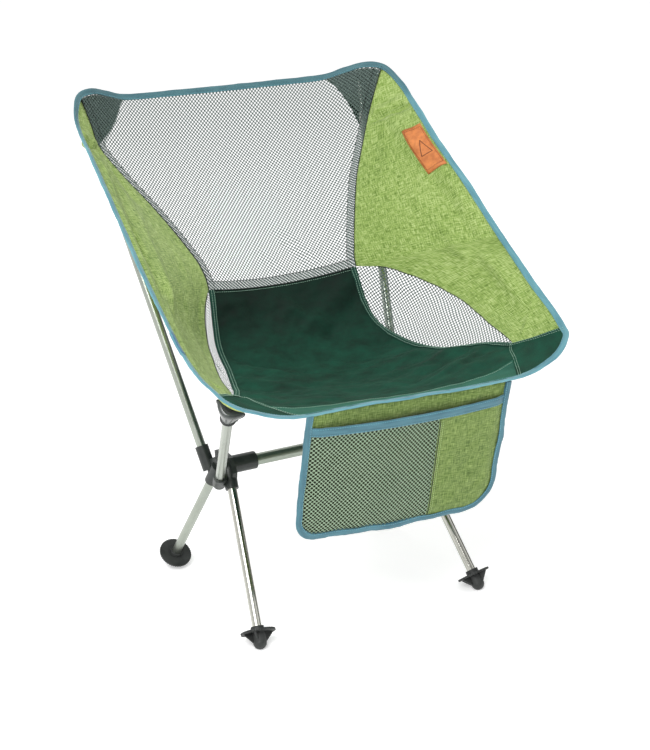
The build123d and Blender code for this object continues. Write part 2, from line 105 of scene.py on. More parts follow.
def make_stage():
    """A plain pale floor, a pale sky and three soft lamps."""
    world = bpy.data.worlds.new("studio")
    world.use_nodes = True
    background = world.node_tree.nodes["Background"]
    background.inputs["Color"].default_value = (1.0, 1.0, 1.0, 1)
    background.inputs["Strength"].default_value = 1.0
    bpy.context.scene.world = world
    tree = world.node_tree
    direction = add_node(tree, "ShaderNodeTexCoord").outputs["Generated"]
    inputs = {0: direction, 1: FLAG_SIDE}
    aside = add_node(tree, "ShaderNodeVectorMath", inputs, operation="DOT_PRODUCT").outputs["Value"]
    height = coordinate(tree, direction, "Z")
    low_side = remap(tree, height, 0.9, 0.5, smooth=True)
    flag = maths(tree, "MULTIPLY", remap(tree, aside, -0.35, 0.1, smooth=True), low_side)
    light_path = add_node(tree, "ShaderNodeLightPath").outputs
    flag = maths(tree, "MULTIPLY", maths(tree, "MULTIPLY", flag, light_path["Is Glossy Ray"]), FLAG_DEPTH)
    sky = remap(tree, light_path["Is Diffuse Ray"], 0, 1, 1.0, SKY_LIGHT)
    tree.links.new(maths(tree, "SUBTRACT", sky, flag), background.inputs["Strength"])
    bpy.context.scene.view_settings.view_transform = "Standard"

    mesh = bpy.data.meshes.new("floor")
    corners = [(x * FLOOR_HALF, y * FLOOR_HALF, 0) for x, y in ((-1, -1), (1, -1), (1, 1), (-1, 1))]
    mesh.from_pydata(corners, [], [(0, 1, 2, 3)])
    floor = bpy.data.objects.new("floor", mesh)
    material, floor_tree, shader = new_material("floor_paper")
    feed(floor_tree, shader, {
        "Base Color": (0.96, 0.96, 0.96, 1), "Roughness": 0.9,
        "Emission Color": (1, 1, 1, 1), "Emission Strength": 0.36,
    })
    mesh.materials.append(material)
    bpy.context.scene.collection.objects.link(floor)

    for name, settings in LAMPS.items():
        area_light(name, *settings)


# ------------------------------------------------------------ materials

CLOTH_SPECULAR = 0.25


def new_material(name):
    material = bpy.data.materials.new(name)
    material.use_nodes = True
    tree = material.node_tree
    return material, tree, tree.nodes["Principled BSDF"]


def feed(tree, node, inputs):
    """Gives a node's inputs their values or links."""
    for key, value in inputs.items():
        if isinstance(value, bpy.types.NodeSocket):
            tree.links.new(value, node.inputs[key])
        else:
            node.inputs[key].default_value = value


def add_node(tree, kind, inputs=(), **settings):
    """A shader node with its settings and its input values or links."""
    made = tree.nodes.new(kind)
    for key, value in settings.items():
        setattr(made, key, value)
    feed(tree, made, dict(inputs))
    return made


def maths(tree, operation, a, b):
    return add_node(tree, "ShaderNodeMath", {0: a, 1: b}, operation=operation).outputs[0]


def weighted(tree, *parts):
    """The sum of values, each times its weight."""
    terms = [maths(tree, "MULTIPLY", value, weight) for value, weight in parts]
    return reduce(lambda a, b: maths(tree, "ADD", a, b), terms)


def dimmed(tree, colour, factor):
    return add_node(tree, "ShaderNodeVectorMath", {0: colour, 3: factor}, operation="SCALE").outputs["Vector"]


def coordinate(tree, vector, axis):
    return add_node(tree, "ShaderNodeSeparateXYZ", {0: vector}).outputs[axis]


def ramp(tree, value, stops):
    """A colour ramp: stops are (position, colour)."""
    made = add_node(tree, "ShaderNodeValToRGB", {"Fac": value})
    elements = made.color_ramp.elements
    while len(elements) < len(stops):
        elements.new(0.5)
    for element, (position, colour) in zip(elements, stops):
        element.position = position
        element.color = (*colour, 1)
    return made.outputs["Color"]


def remap(tree, value, low, high, to_low=0.0, to_high=1.0, smooth=False):
    kind = "SMOOTHSTEP" if smooth else "LINEAR"
    inputs = {"Value": value, "From Min": low, "From Max": high, "To Min": to_low, "To Max": to_high}
    return add_node(tree, "ShaderNodeMapRange", inputs, interpolation_type=kind).outputs["Result"]


def cloth_place(tree):
    """Where a point lies on the flat cloth, in metres."""
    return add_node(tree, "ShaderNodeUVMap", uv_map="cloth").outputs["UV"]


def object_place(tree):
    return add_node(tree, "ShaderNodeTexCoord").outputs["Object"]


def scaled(tree, place, scale, turn=0.0):
    inputs = {"Vector": place, "Scale": scale, "Rotation": (0, 0, turn)}
    return add_node(tree, "ShaderNodeMapping", inputs).outputs["Vector"]


def noise_at(tree, place, detail=2.0, roughness=0.5, scale=1.0):
    inputs = {"Vector": place, "Scale": scale, "Detail": detail, "Roughness": roughness}
    return add_node(tree, "ShaderNodeTexNoise", inputs).outputs["Fac"]


def yarn_bands(tree, place, pitch, direction):
    """Rounded bands, one for each yarn or rib of a pitch in metres."""
    inputs = {"Vector": place, "Scale": 2 * math.pi / 20 / pitch, "Distortion": 0.0}
    return add_node(tree, "ShaderNodeTexWave", inputs, wave_type="BANDS", bands_direction=direction).outputs["Fac"]


def weave_height(tree, place, pitch):
    """Plain weave: over and under of two sets of yarns."""
    return maths(tree, "MULTIPLY", *(yarn_bands(tree, place, pitch, direction) for direction in "XY"))


def finish_shader(tree, shader, height, strength, distance, inputs):
    """Bump from a height, and the shader's other inputs."""
    made = add_node(tree, "ShaderNodeBump", {"Height": height, "Strength": strength, "Distance": distance})
    feed(tree, shader, {"Normal": made.outputs["Normal"], **inputs})


def shaded(tree, colour, place, shade):
    """A colour darkened on one part of the cloth as painted shade: shade is (from, to, darkest) along its length."""
    if shade is None:
        return colour
    start, end, darkest = shade[:3]
    factor = remap(tree, coordinate(tree, place, "Y"), start, end, darkest, 1.0, True)
    # the painted shade falls only on the side that faces forwards
    if len(shade) > 3:  # only on the side that faces forwards
        facing = coordinate(tree, add_node(tree, "ShaderNodeTexCoord").outputs["Normal"], "Y")
        factor = maths(tree, "MAXIMUM", factor, remap(tree, facing, -0.1, 0.1))
    return dimmed(tree, colour, factor)


def heather_cloth(name, dark, middle, light, slub=0.012, yarn=0.0010, shade=None):
    """Two-tone plain weave whose yarns change colour along their length."""
    material, tree, shader = new_material(name)
    place = cloth_place(tree)
    weft = noise_at(tree, scaled(tree, place, (1 / slub, 1 / yarn, 1)), 1.5)
    warp = noise_at(tree, scaled(tree, place, (1 / yarn, 1 / slub, 1)), 1.5)
    cloud = noise_at(tree, scaled(tree, place, (9, 9, 1)), 3.0)
    tone = weighted(tree, (weft, 0.5), (warp, 0.5), (maths(tree, "SUBTRACT", cloud, 0.5), 0.16))
    height = weighted(tree, (weave_height(tree, place, yarn), 1.0), (tone, 0.8))
    finish_shader(tree, shader, height, 0.5, 0.0004, {
        "Base Color": shaded(tree, ramp(tree, tone, [(0.37, dark), (0.5, middle), (0.63, light)]), place, shade),
        "Roughness": remap(tree, cloud, 0.3, 0.7, 0.78, 0.92), "Specular IOR Level": CLOTH_SPECULAR,
        "Sheen Weight": 0.15, "Sheen Roughness": 0.5,
    })
    return material


def brushed_cloth(name, dark, light, sheen=0.35, shade=None):
    """Dense brushed cloth: soft marks where the nap lies another way, and a fine weave."""
    material, tree, shader = new_material(name)
    place = cloth_place(tree)
    marks = noise_at(tree, scaled(tree, place, (28, 40, 1)), 6.0, 0.62)
    cloud = noise_at(tree, scaled(tree, place, (6, 7, 1)), 2.0)
    fibre = noise_at(tree, scaled(tree, place, (900, 260, 1)), 2.0)
    tone = weighted(tree, (marks, 0.6), (cloud, 0.25), (fibre, 0.15))
    height = weighted(tree, (fibre, 0.5), (weave_height(tree, place, 0.0007), 1.0))
    finish_shader(tree, shader, height, 0.35, 0.0003, {
        "Base Color": shaded(tree, ramp(tree, tone, [(0.36, dark), (0.66, light)]), place, shade),
        "Roughness": remap(tree, marks, 0.3, 0.7, 0.68, 0.86), "Specular IOR Level": CLOTH_SPECULAR,
        "Sheen Weight": sheen, "Sheen Roughness": 0.45, "Sheen Tint": (0.25, 0.75, 0.5, 1),
    })
    return material


def open_mesh(name, dark, light, pitch=0.0037, hole=0.40, turn=math.pi / 4):
    """Knitted mesh: a lattice of rounded threads round open holes, pitch metres apart."""
    material, tree, shader = new_material(name)
    place = cloth_place(tree)
    lattice = scaled(tree, place, (1 / pitch, 1 / pitch, 1), turn)
    cells = add_node(tree, "ShaderNodeTexVoronoi", {"Vector": lattice, "Scale": 1.0, "Randomness": 0.0})
    distance = cells.outputs["Distance"]
    speckle = noise_at(tree, scaled(tree, place, (600, 600, 1)), 2.0)
    finish_shader(tree, shader, remap(tree, distance, hole, 0.6), 0.6, 0.0005, {
        "Alpha": remap(tree, distance, hole - 0.03, hole + 0.03, smooth=True),
        "Base Color": ramp(tree, speckle, [(0.3, dark), (0.7, light)]),
        "Roughness": 0.6, "Specular IOR Level": 0.3,
    })
    return material


def ribbed_tape(name, dark, light, rib=0.0011):
    """Grosgrain: fine ribs across the tape, uneven in colour, and darker near the top of the backrest as painted
    shade.
    """
    material, tree, shader = new_material(name)
    place = cloth_place(tree)
    ribs = yarn_bands(tree, place, rib, "X")
    cloud = noise_at(tree, scaled(tree, place, (26, 160, 1)), 3.0)
    speck = noise_at(tree, scaled(tree, place, (900, 900, 1)), 2.0)
    tone = weighted(tree, (cloud, 0.6), (ribs, 0.2), (speck, 0.25))
    # painted shade: the tape is darkened by height near the top of the backrest
    painted_shade_at_top = remap(tree, coordinate(tree, object_place(tree), "Z"), 0.60, 0.655, 1.0, 0.5, True)
    finish_shader(tree, shader, weighted(tree, (ribs, 1.0), (speck, 0.4)), 0.5, 0.00025, {
        "Base Color": dimmed(tree, ramp(tree, tone, [(0.36, dark), (0.66, light)]), painted_shade_at_top),
        "Roughness": remap(tree, speck, 0.3, 0.7, 0.55, 0.75), "Sheen Weight": 0.3, "Sheen Roughness": 0.4,
    })
    return material


def leather(name, dark, light):
    material, tree, shader = new_material(name)
    place = object_place(tree)
    grain = add_node(tree, "ShaderNodeTexVoronoi", {"Vector": place, "Scale": 900.0}).outputs["Distance"]
    cloud = noise_at(tree, place, 4.0, 0.6, 90.0)
    finish_shader(tree, shader, grain, 0.35, 0.0003, {
        "Base Color": ramp(tree, cloud, [(0.35, dark), (0.65, light)]),
        "Roughness": remap(tree, cloud, 0.3, 0.7, 0.5, 0.68),
    })
    return material


def metal(name, colour, rough_low, rough_high):
    """Drawn aluminium: fine lines along the tube and faint handling marks."""
    material, tree, shader = new_material(name)
    place = object_place(tree)
    lines = noise_at(tree, scaled(tree, place, (1800, 1800, 14)), 2.0)
    marks = noise_at(tree, place, 4.0, 0.6, 40.0)
    low = tuple(c * 0.86 for c in colour)
    rough = remap(tree, weighted(tree, (lines, 0.6), (marks, 0.4)), 0.3, 0.7, rough_low, rough_high)
    finish_shader(tree, shader, lines, 0.08, 0.0001, {
        "Metallic": 1.0, "Base Color": ramp(tree, marks, [(0.3, low), (0.7, colour)]), "Roughness": rough,
    })
    return material


def moulded(name, dark, light, rough_low, rough_high, grain=1400.0, depth=0.2):
    """Moulded plastic or rubber: an even spark-eroded grain, scuffed lighter in places."""
    material, tree, shader = new_material(name)
    place = object_place(tree)
    scuff = noise_at(tree, place, 5.0, 0.65, 70.0)
    finish_shader(tree, shader, noise_at(tree, place, 2.0, 0.5, grain), depth, 0.0002, {
        "Base Color": ramp(tree, scuff, [(0.35, dark), (0.75, light)]),
        "Roughness": remap(tree, scuff, 0.3, 0.7, rough_low, rough_high),
    })
    return material


def thread(name, dark, light):
    """Twisted sewing thread or braided cord."""
    material, tree, shader = new_material(name)
    twist = noise_at(tree, object_place(tree), 2.0, 0.5, 1500.0)
    finish_shader(tree, shader, twist, 0.4, 0.0002, {
        "Base Color": ramp(tree, twist, [(0.3, dark), (0.7, light)]), "Roughness": 0.7,
    })
    return material


GREEN = dict(dark=(0.125, 0.215, 0.036), middle=(0.30, 0.43, 0.105), light=(0.54, 0.66, 0.27))
# a darker copy of the heather colours for the organiser, which hangs in shade under the seat: painted shade
POCKET_SHADED_GREEN = dict(dark=(0.065, 0.115, 0.020), middle=(0.145, 0.225, 0.050), light=(0.28, 0.37, 0.115))
UNDER_GREEN = dict(dark=(0.24, 0.33, 0.04), middle=(0.42, 0.50, 0.10), light=(0.60, 0.66, 0.22))

make_camera()
make_stage()
paint = {
    "heather": heather_cloth("heather_weave", **GREEN),
    "under_heather": heather_cloth("heather_weave_underside", **UNDER_GREEN),
    # the organiser's heather: the darker copy, as painted shade
    "pocket_shaded_heather": heather_cloth("organiser_weave_painted_shade", **POCKET_SHADED_GREEN),
    # the organiser's back panel: the darker heather, painted darker still below the mouth on its forward side,
    # behind the mesh: painted shade
    "pocket_back_shaded": heather_cloth("organiser_back_weave_painted_shade", **POCKET_SHADED_GREEN, shade=(-0.030, -0.021, 0.12, "front")),
    # the seat cloth is darker towards the back of the seat: painted shade
    "seat": brushed_cloth(
        "seat_brushed_weave", (0.0010, 0.020, 0.011), (0.008, 0.078, 0.046), 0.05, shade=(-0.01, -0.16, 0.30)
    ),
    # the front hem: real folded cloth, drawn in a lighter copy of the seat cloth as painted highlight along the fold
    "hem": brushed_cloth("hem_brushed_weave", (0.010, 0.070, 0.046), (0.036, 0.150, 0.105), 0.15),
    "dark_hem": brushed_cloth("side_hem_brushed_weave", (0.004, 0.028, 0.020), (0.014, 0.062, 0.042), 0.15),
    "mesh": open_mesh("knitted_mesh_dark", (0.045, 0.072, 0.065), (0.14, 0.19, 0.172), hole=0.385),
    "pocket_mesh": open_mesh("knitted_mesh_pale", (0.19, 0.29, 0.18), (0.38, 0.50, 0.35), pitch=0.0041, hole=0.42),
    "tape": ribbed_tape("binding_grosgrain", (0.06, 0.21, 0.27), (0.16, 0.39, 0.44)),
    # a darker copy of the binding tape for the organiser, which hangs in shade: painted shade
    "pocket_shaded_tape": ribbed_tape("organiser_grosgrain_painted_shade", (0.030, 0.110, 0.150), (0.075, 0.215, 0.265)),
    "dark_tape": ribbed_tape("binding_overlap", (0.02, 0.10, 0.20), (0.06, 0.22, 0.34)),
    "leather": leather("tan_leather", (0.50, 0.15, 0.04), (0.72, 0.25, 0.07)),
    "leather_edge": leather("burnished_leather_edge", (0.09, 0.025, 0.01), (0.16, 0.05, 0.02)),
    "satin": metal("satin_aluminium", (0.40, 0.43, 0.38), 0.24, 0.36),
    "polished": metal("polished_aluminium", (0.52, 0.52, 0.47), 0.12, 0.20),
    "crossbar": metal("crossbar_aluminium", (0.36, 0.40, 0.34), 0.36, 0.48),
    "hub": moulded("hub_nylon", (0.011, 0.015, 0.013), (0.032, 0.038, 0.035), 0.34, 0.5),
    "foot": moulded("foot_rubber", (0.012, 0.014, 0.013), (0.04, 0.044, 0.042), 0.45, 0.65),
    "plug": moulded("plug_nylon", (0.01, 0.01, 0.011), (0.03, 0.03, 0.03), 0.4, 0.6),
    "cup": moulded("cup_gloss_nylon", (0.045, 0.052, 0.05), (0.085, 0.095, 0.09), 0.14, 0.26, 600.0, 0.05),
    "cup_rim": moulded("cup_rim_nylon", (0.006, 0.007, 0.007), (0.015, 0.017, 0.016), 0.25, 0.4),
    "cord": thread("elastic_braid", (0.02, 0.02, 0.022), (0.09, 0.09, 0.1)),
    "pale_thread": thread("pale_green_thread", (0.22, 0.40, 0.30), (0.42, 0.62, 0.50)),
    "green_thread": thread("light_green_thread", (0.40, 0.55, 0.20), (0.58, 0.72, 0.36)),
    "dark_thread": thread("black_thread", (0.006, 0.010, 0.009), (0.02, 0.028, 0.026)),
    "blue_thread": thread("blue_thread", (0.10, 0.33, 0.42), (0.24, 0.52, 0.60)),
    "tan_thread": thread("tan_thread", (0.12, 0.035, 0.015), (0.22, 0.07, 0.03)),
}

SLOT_PAINT = {
    "hub_plastic": "hub", "crossbar_metal": "crossbar", "tube_metal": "satin", "polished_tube": "polished",
    "ferrule_metal": "satin", "plug_plastic": "plug", "elastic_cord": "cord", "foot_rubber": "foot",
    "mesh_cloth": "mesh", "heather_cloth": "heather", "seat_cloth": "seat", "binding_tape": "tape",
    "patch_leather": "leather", "cup_plastic": "cup",
}
for part in frame["record"]["subparts"]:
    node_object = frame["nodes"][part["node"]]
    node_paint = paint[SLOT_PAINT[part["material_slot"]]]
    if not node_object.material_slots:
        node_object.data.materials.append(node_paint)
    for material_slot in node_object.material_slots:
        material_slot.material = node_paint

# ------------------------------------------------------------ mesh making


def catmull(points, at):
    """A smooth curve through points (or through whole rows of points), at fractional indices."""
    points = np.asarray(points, float)
    count = len(points)
    padded_points = np.concatenate([2 * points[:1] - points[1:2], points, 2 * points[-1:] - points[-2:-1]])
    at = np.clip(np.asarray(at, float), 0, count - 1)
    index = np.minimum(at.astype(int), count - 2)
    part = (at - index).reshape((-1,) + (1,) * (points.ndim - 1))
    a, b, c, d = (padded_points[index + k] for k in range(4))
    return 0.5 * (
        2 * b + (c - a) * part + (2 * a - 5 * b + 4 * c - d) * part**2 + (3 * (b - c) + d - a) * part**3
    )


def lengths(points):
    """How far along a line of points each one is."""
    steps = np.linalg.norm(np.diff(points, axis=0), axis=1)
    return np.concatenate([[0.0], np.cumsum(steps)])


def evenly(points, count):
    """The same line with its points evenly spaced."""
    along = lengths(points)
    at = np.linspace(0, along[-1], count)
    return np.stack([np.interp(at, along, points[:, k]) for k in range(points.shape[1])], axis=1)


def grid_normals(grid):
    down = np.gradient(grid, axis=0)
    side = np.gradient(grid, axis=1)
    normal = np.cross(down, side)
    size = np.linalg.norm(normal, axis=2, keepdims=True)
    return normal / np.maximum(size, 1e-12)


def cloth_uv(grid):
    """Flat-cloth coordinates of a grid, in metres: across along each row, down along the middle column."""
    rows, columns = grid.shape[:2]
    uv = np.zeros((rows, columns, 2))
    middle = columns // 2
    steps = np.linalg.norm(np.diff(grid, axis=1), axis=2)
    across = np.concatenate([np.zeros((rows, 1)), np.cumsum(steps, axis=1)], axis=1)
    uv[:, :, 0] = across - across[:, middle : middle + 1]
    down = np.linalg.norm(np.diff(grid, axis=0), axis=2)
    uv[1:, :, 1] = -np.cumsum(down.mean(axis=1))[:, None]
    return uv


def flat_frame(grid):
    """The plane that lies closest to a grid: its origin and its level and rising directions."""
    points = grid.reshape(-1, 3)
    origin = points.mean(axis=0)
    normal = np.linalg.svd(points - origin, full_matrices=False)[2][2]
    level = np.cross(normal, (0, 0, 1))
    level /= np.linalg.norm(level)
    return origin, level, np.cross(normal, level)


def plane_uv(grid, plane, offset=0.0):
    """Coordinates of a grid's points in a plane, so that a mesh's holes stay even all over."""
    origin, level, rising = plane
    return np.stack([(grid - origin) @ level, (grid - origin) @ rising], axis=2) + offset


def fractal(points, frequency, seed, octaves=3):
    """Smooth noise between about -1 and 1 at flat-cloth places."""
    fu, fv = frequency
    flat = points.reshape(-1, 2)
    values = [noise.fractal((u * fu, v * fv, seed), 0.6, 2.0, octaves) for u, v in flat]
    return np.array(values).reshape(points.shape[:2])


def smooth(value):
    share = np.clip(value, 0, 1)
    return share * share * (3 - 2 * share)


def edge_fade(grid, distance):
    """0 at a grid's edges, 1 from a distance inwards."""
    rows, columns = grid.shape[:2]
    uv = cloth_uv(grid)
    left = uv[:, :, 0] - uv[:, :1, 0]
    right = uv[:, -1:, 0] - uv[:, :, 0]
    top = uv[:1, :, 1] - uv[:, :, 1]
    bottom = uv[:, :, 1] - uv[-1:, :, 1]
    return smooth(np.minimum(np.minimum(left, right), np.minimum(top, bottom)) / distance)


def fold_height(grid, start, end, width, height):
    """A soft ridge (or, with a negative height, a valley) between two points in space."""
    a, b = np.array(start, float), np.array(end, float)
    line = b - a
    share = ((grid - a) @ line) / (line @ line)
    nearest = a + np.clip(share, 0, 1)[..., None] * line
    away = np.linalg.norm(grid - nearest, axis=2)
    taper = np.clip(np.minimum(share + 0.12, 1.12 - share) / 0.3, 0, 1)
    return height * np.exp(-((away / width) ** 2)) * taper


def folds_height(grid, folds, width_scale=1.0, height_scale=1.0):
    """All the folds of a list: each is (start, end, width, height)."""
    total = 0
    for start, end, width, height in folds:
        total = total + fold_height(grid, start, end, width * width_scale, height * height_scale)
    return total


def displaced(grid, height):
    return grid + grid_normals(grid) * np.asarray(height)[..., None]


def make_object(name, vertices, faces, materials, uv=None, face_material=None, smooth=True):
    mesh = bpy.data.meshes.new(name)
    mesh.from_pydata([tuple(v) for v in vertices], [], faces)
    for material in materials:
        mesh.materials.append(material)
    if uv is not None:
        layer = mesh.uv_layers.new(name="cloth")
        flat = np.array([uv[loop.vertex_index] for loop in mesh.loops], np.float32)
        layer.data.foreach_set("uv", flat.ravel())
    if face_material is not None:
        mesh.polygons.foreach_set("material_index", face_material)
    mesh.polygons.foreach_set("use_smooth", [smooth] * len(mesh.polygons))
    mesh.validate()
    mesh.update()
    made = bpy.data.objects.new(name, mesh)
    bpy.context.scene.collection.objects.link(made)
    return made


def grid_faces(rows, columns, offset=0, flip=False, closed=False):
    faces = []
    span = columns if closed else columns - 1
    for i in range(rows - 1):
        for j in range(span):
            a = offset + i * columns + j
            b = offset + i * columns + (j + 1) % columns
            quad = (a, a + columns, b + columns, b)
            faces.append(quad[::-1] if flip else quad)
    return faces


def sheet_object(name, grid, materials, thickness=0.0, uv=None):
    """Cloth over a grid of points. With a thickness it is a closed skin of two layers and a rim."""
    rows, columns = grid.shape[:2]
    uv = cloth_uv(grid) if uv is None else uv
    flat_uv = uv.reshape(-1, 2)
    if not thickness:
        return make_object(name, grid.reshape(-1, 3), grid_faces(rows, columns), materials, flat_uv)
    normal = grid_normals(grid)
    upper, lower = grid + normal * thickness / 2, grid - normal * thickness / 2
    vertices = np.concatenate([upper.reshape(-1, 3), lower.reshape(-1, 3)])
    count = rows * columns
    faces = grid_faces(rows, columns) + grid_faces(rows, columns, count, flip=True)
    rim = list(range(columns))
    rim += [i * columns + columns - 1 for i in range(1, rows)]
    rim += [(rows - 1) * columns + j for j in range(columns - 2, -1, -1)]
    rim += [i * columns for i in range(rows - 2, 0, -1)]
    for a, b in zip(rim, rim[1:] + rim[:1]):
        faces.append((a, b, b + count, a + count))
    return make_object(name, vertices, faces, materials, np.concatenate([flat_uv, flat_uv]))


def sweep(name, path, outward, profile, materials, closed=False, twist=None):
    """A profile (outward, normal) carried along a path, with its own flat coordinates."""
    path, outward = np.asarray(path, float), np.asarray(outward, float)
    if closed:
        tangent = np.roll(path, -1, axis=0) - np.roll(path, 1, axis=0)
    else:
        tangent = np.gradient(path, axis=0)
    tangent /= np.linalg.norm(tangent, axis=1, keepdims=True)
    outward = outward - (outward * tangent).sum(1, keepdims=True) * tangent
    outward /= np.linalg.norm(outward, axis=1, keepdims=True)
    normal = np.cross(tangent, outward)
    profile = np.asarray(profile, float)
    rings = []
    for k in range(len(path)):
        shape = profile if profile.ndim == 2 else profile[k]
        rings.append(path[k] + shape[:, :1] * outward[k] + shape[:, 1:] * normal[k])
    grid = np.array(rings)
    rows, columns = grid.shape[:2]
    along = lengths(path)
    first = profile if profile.ndim == 2 else profile[0]
    around = lengths(np.concatenate([first, first[:1]]))[:-1]
    uv = np.stack(np.meshgrid(along, around, indexing="ij"), axis=2).reshape(-1, 2)
    faces = grid_faces(rows, columns, closed=True)
    if closed:
        last = (rows - 1) * columns
        for j in range(columns):
            faces.append((last + j, j, (j + 1) % columns, last + (j + 1) % columns))
    else:
        faces.append(tuple(range(columns)))
        faces.append(tuple(reversed(range((rows - 1) * columns, rows * columns))))
    return make_object(name, grid.reshape(-1, 3), faces, materials, uv)


STITCH_RING = 5
STITCH_STAGES = ((0, 0.45, 0.1), (0.22, 1, 0.9), (0.78, 1, 0.9), (1, 0.45, 0.1))  # share of its length, width, lift


def stitches(name, lines, material, pitch=0.0032, length=0.0023, radius=0.00033):
    """Rows of separate stitches. Each line is (points, normals) along the surface that it is sewn through."""
    vertices, faces = [], []
    for points, normals in lines:
        along = lengths(points)
        count = max(int(along[-1] / pitch), 1)
        for k in range(count):
            ends = [(k + 0.5) * along[-1] / count + sign * length / 2 for sign in (-1, 1)]
            a, b = (np.array([np.interp(at, along, points[:, c]) for c in range(3)]) for at in ends)
            middle = (ends[0] + ends[1]) / 2
            normal = np.array([np.interp(middle, along, normals[:, c]) for c in range(3)])
            normal /= max(np.linalg.norm(normal), 1e-9)
            direction = (b - a) / max(np.linalg.norm(b - a), 1e-9)
            side = np.cross(direction, normal)
            base = len(vertices)
            for share, width, lift in STITCH_STAGES:
                centre = a + (b - a) * share + normal * radius * lift
                for turn in range(STITCH_RING):
                    angle = 2 * math.pi * turn / STITCH_RING
                    spoke = side * math.cos(angle) + normal * math.sin(angle)
                    vertices.append(centre + spoke * radius * width)
            faces += grid_faces(4, STITCH_RING, base, closed=True)
            faces.append(tuple(base + j for j in range(STITCH_RING)))
            faces.append(tuple(base + 3 * STITCH_RING + j for j in reversed(range(STITCH_RING))))
    return make_object(name, vertices, faces, [material])


def on_grid(grid, i, j, lift):
    """Points and normals at fractional rows i and columns j of a grid, raised by lift."""
    normal = grid_normals(grid)
    i, j = np.broadcast_arrays(np.asarray(i, float), np.asarray(j, float))
    i = np.clip(i, 0, grid.shape[0] - 1.001)
    j = np.clip(j, 0, grid.shape[1] - 1.001)
    i0, j0 = i.astype(int), j.astype(int)
    fi, fj = (i - i0)[:, None], (j - j0)[:, None]

    def sample(values):
        top = values[i0, j0] * (1 - fj) + values[i0, j0 + 1] * fj
        low = values[i0 + 1, j0] * (1 - fj) + values[i0 + 1, j0 + 1] * fj
        return top * (1 - fi) + low * fi

    points, normals = sample(grid), sample(normal)
    normals /= np.linalg.norm(normals, axis=1, keepdims=True)
    return points + normals * lift, normals


def finish_piece(piece, body, replaced=()):
    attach(piece, body)
    if replaced:
        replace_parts(piece, *replaced)
    return piece


# ------------------------------------------------------------ the sling's surfaces

ROWS = [
    ((262, 642), (230, 229, 652), (240, 220, 659)),
    ((255, 607), (218.6, 225.5, 617), (250.5, 198, 637.5)),
    ((246, 575), (209, 223, 587), (253.5, 174, 618)),
    ((224, 534), (184, 198, 547), (254, 147, 600)),
    ((201, 503), (162.6, 174, 517), (254.5, 112, 575)),
    ((173, 472), (144, 147, 487), (256, 72, 549.5)),
    ((144, 442), (127.7, 121, 457), (258, 32, 524)),
    ((127, 423), (119, 106, 437), (259, -7, 497)),
    ((106, 396), (114.5, 92.6, 409), (259.5, -48, 470)),
    ((64, 345), (123.2, 57, 344.5), (259.8, -76, 453)),
    ((16, 311), (136.8, -3, 327), (260, -100, 438)),
    ((-66, 309), (158, -63, 327.7), (260.3, -131, 419)),
    ((-130, 318), (185, -123, 348), (257.8, -176, 398)),
    ((-184, 331), (205, -162, 357), (250.5, -209, 385.5)),
]
BACK_END, SEAT_END = 8, 13
TOP_EDGE = [(0, 262, 644), (80, 261, 644.5), (153, 259, 646), (185, 250, 655), (211, 236, 663), (236, 223, 659)]
TOP_EDGE_INNER = [(0, 255, 607), (80, 255, 607), (140, 249, 607), (165, 242, 607), (195, 231, 620), (215, 221, 635)]
FRONT_EDGE = [(0, -248, 348), (110, -247.5, 348), (171, -246, 349.5), (221, -238, 364), (244.5, -225, 378.5)]
FRONT_INNER = [(0, -216, 341), (102, -217, 342), (158, -214, 345), (204, -206, 360), (228, -191, 370)]
SEAT_THICKNESS = SIDE_THICKNESS = 0.0009

# where the green cloth ends above the mesh windows: row, share of the way from the seam to the outer edge
WINDOW_RIGHT = [
    (8, 0), (8.15, 0.17), (8.3, 0.26), (8.6, 0.38), (9, 0.47), (9.5, 0.505), (10, 0.515), (10.5, 0.50), (11, 0.465),
    (11.5, 0.39), (12, 0.28), (12.5, 0.165), (12.8, 0.08), (13, 0),
]
WINDOW_LEFT = [
    (8, 0), (8.3, 0.10), (8.6, 0.15), (9, 0.17), (9.5, 0.21), (10, 0.24), (10.5, 0.25), (11, 0.24), (11.5, 0.235),
    (12, 0.21), (12.5, 0.14), (12.8, 0.07), (13, 0),
]

middles = np.array([(0, y, z) for (y, z), seam, outer in ROWS]) * MM
seams = np.array([seam for middle, seam, outer in ROWS]) * MM
outers = np.array([outer for middle, seam, outer in ROWS]) * MM
top_edge = np.array(TOP_EDGE) * MM
front_edge = np.array([*FRONT_EDGE, ROWS[-1][2]]) * MM


def uneven(points):
    """The front edge hangs a few millimetres lower on the right than on the left, as tied on by hand."""
    points = np.array(points, float)
    x, y = points[..., 0], points[..., 1]
    side = smooth(np.abs(x) / 0.08) * smooth((0.245 - np.abs(x)) / 0.03) * smooth((-y - 0.13) / 0.1)
    points[..., 2] -= 0.0032 * np.sign(x) * side
    return points


def main_surface(rows, shares):
    """The sling between its two long seams, at fractional rows and at shares of the way to a seam."""
    middle = catmull(middles, rows)[:, None, :]
    seam = catmull(seams, rows)[:, None, :]
    share = np.asarray(shares, float)[None, :, None]
    grid = middle + (seam - middle) * share**2
    grid[:, :, 0] = (seam * share)[:, :, 0]
    return grid


def edge_curve(points, shares):
    """A mirror-symmetric edge through points on its right half, at shares from -1 to 1 of its length."""
    fine = evenly(catmull(points, np.linspace(0, len(points) - 1, 200)), 400)
    at = np.abs(shares) * (len(fine) - 1)
    curve = np.stack([np.interp(at, np.arange(len(fine)), fine[:, k]) for k in range(3)], axis=1)
    curve[:, 0] *= np.sign(shares) + (np.asarray(shares) == 0)
    return curve


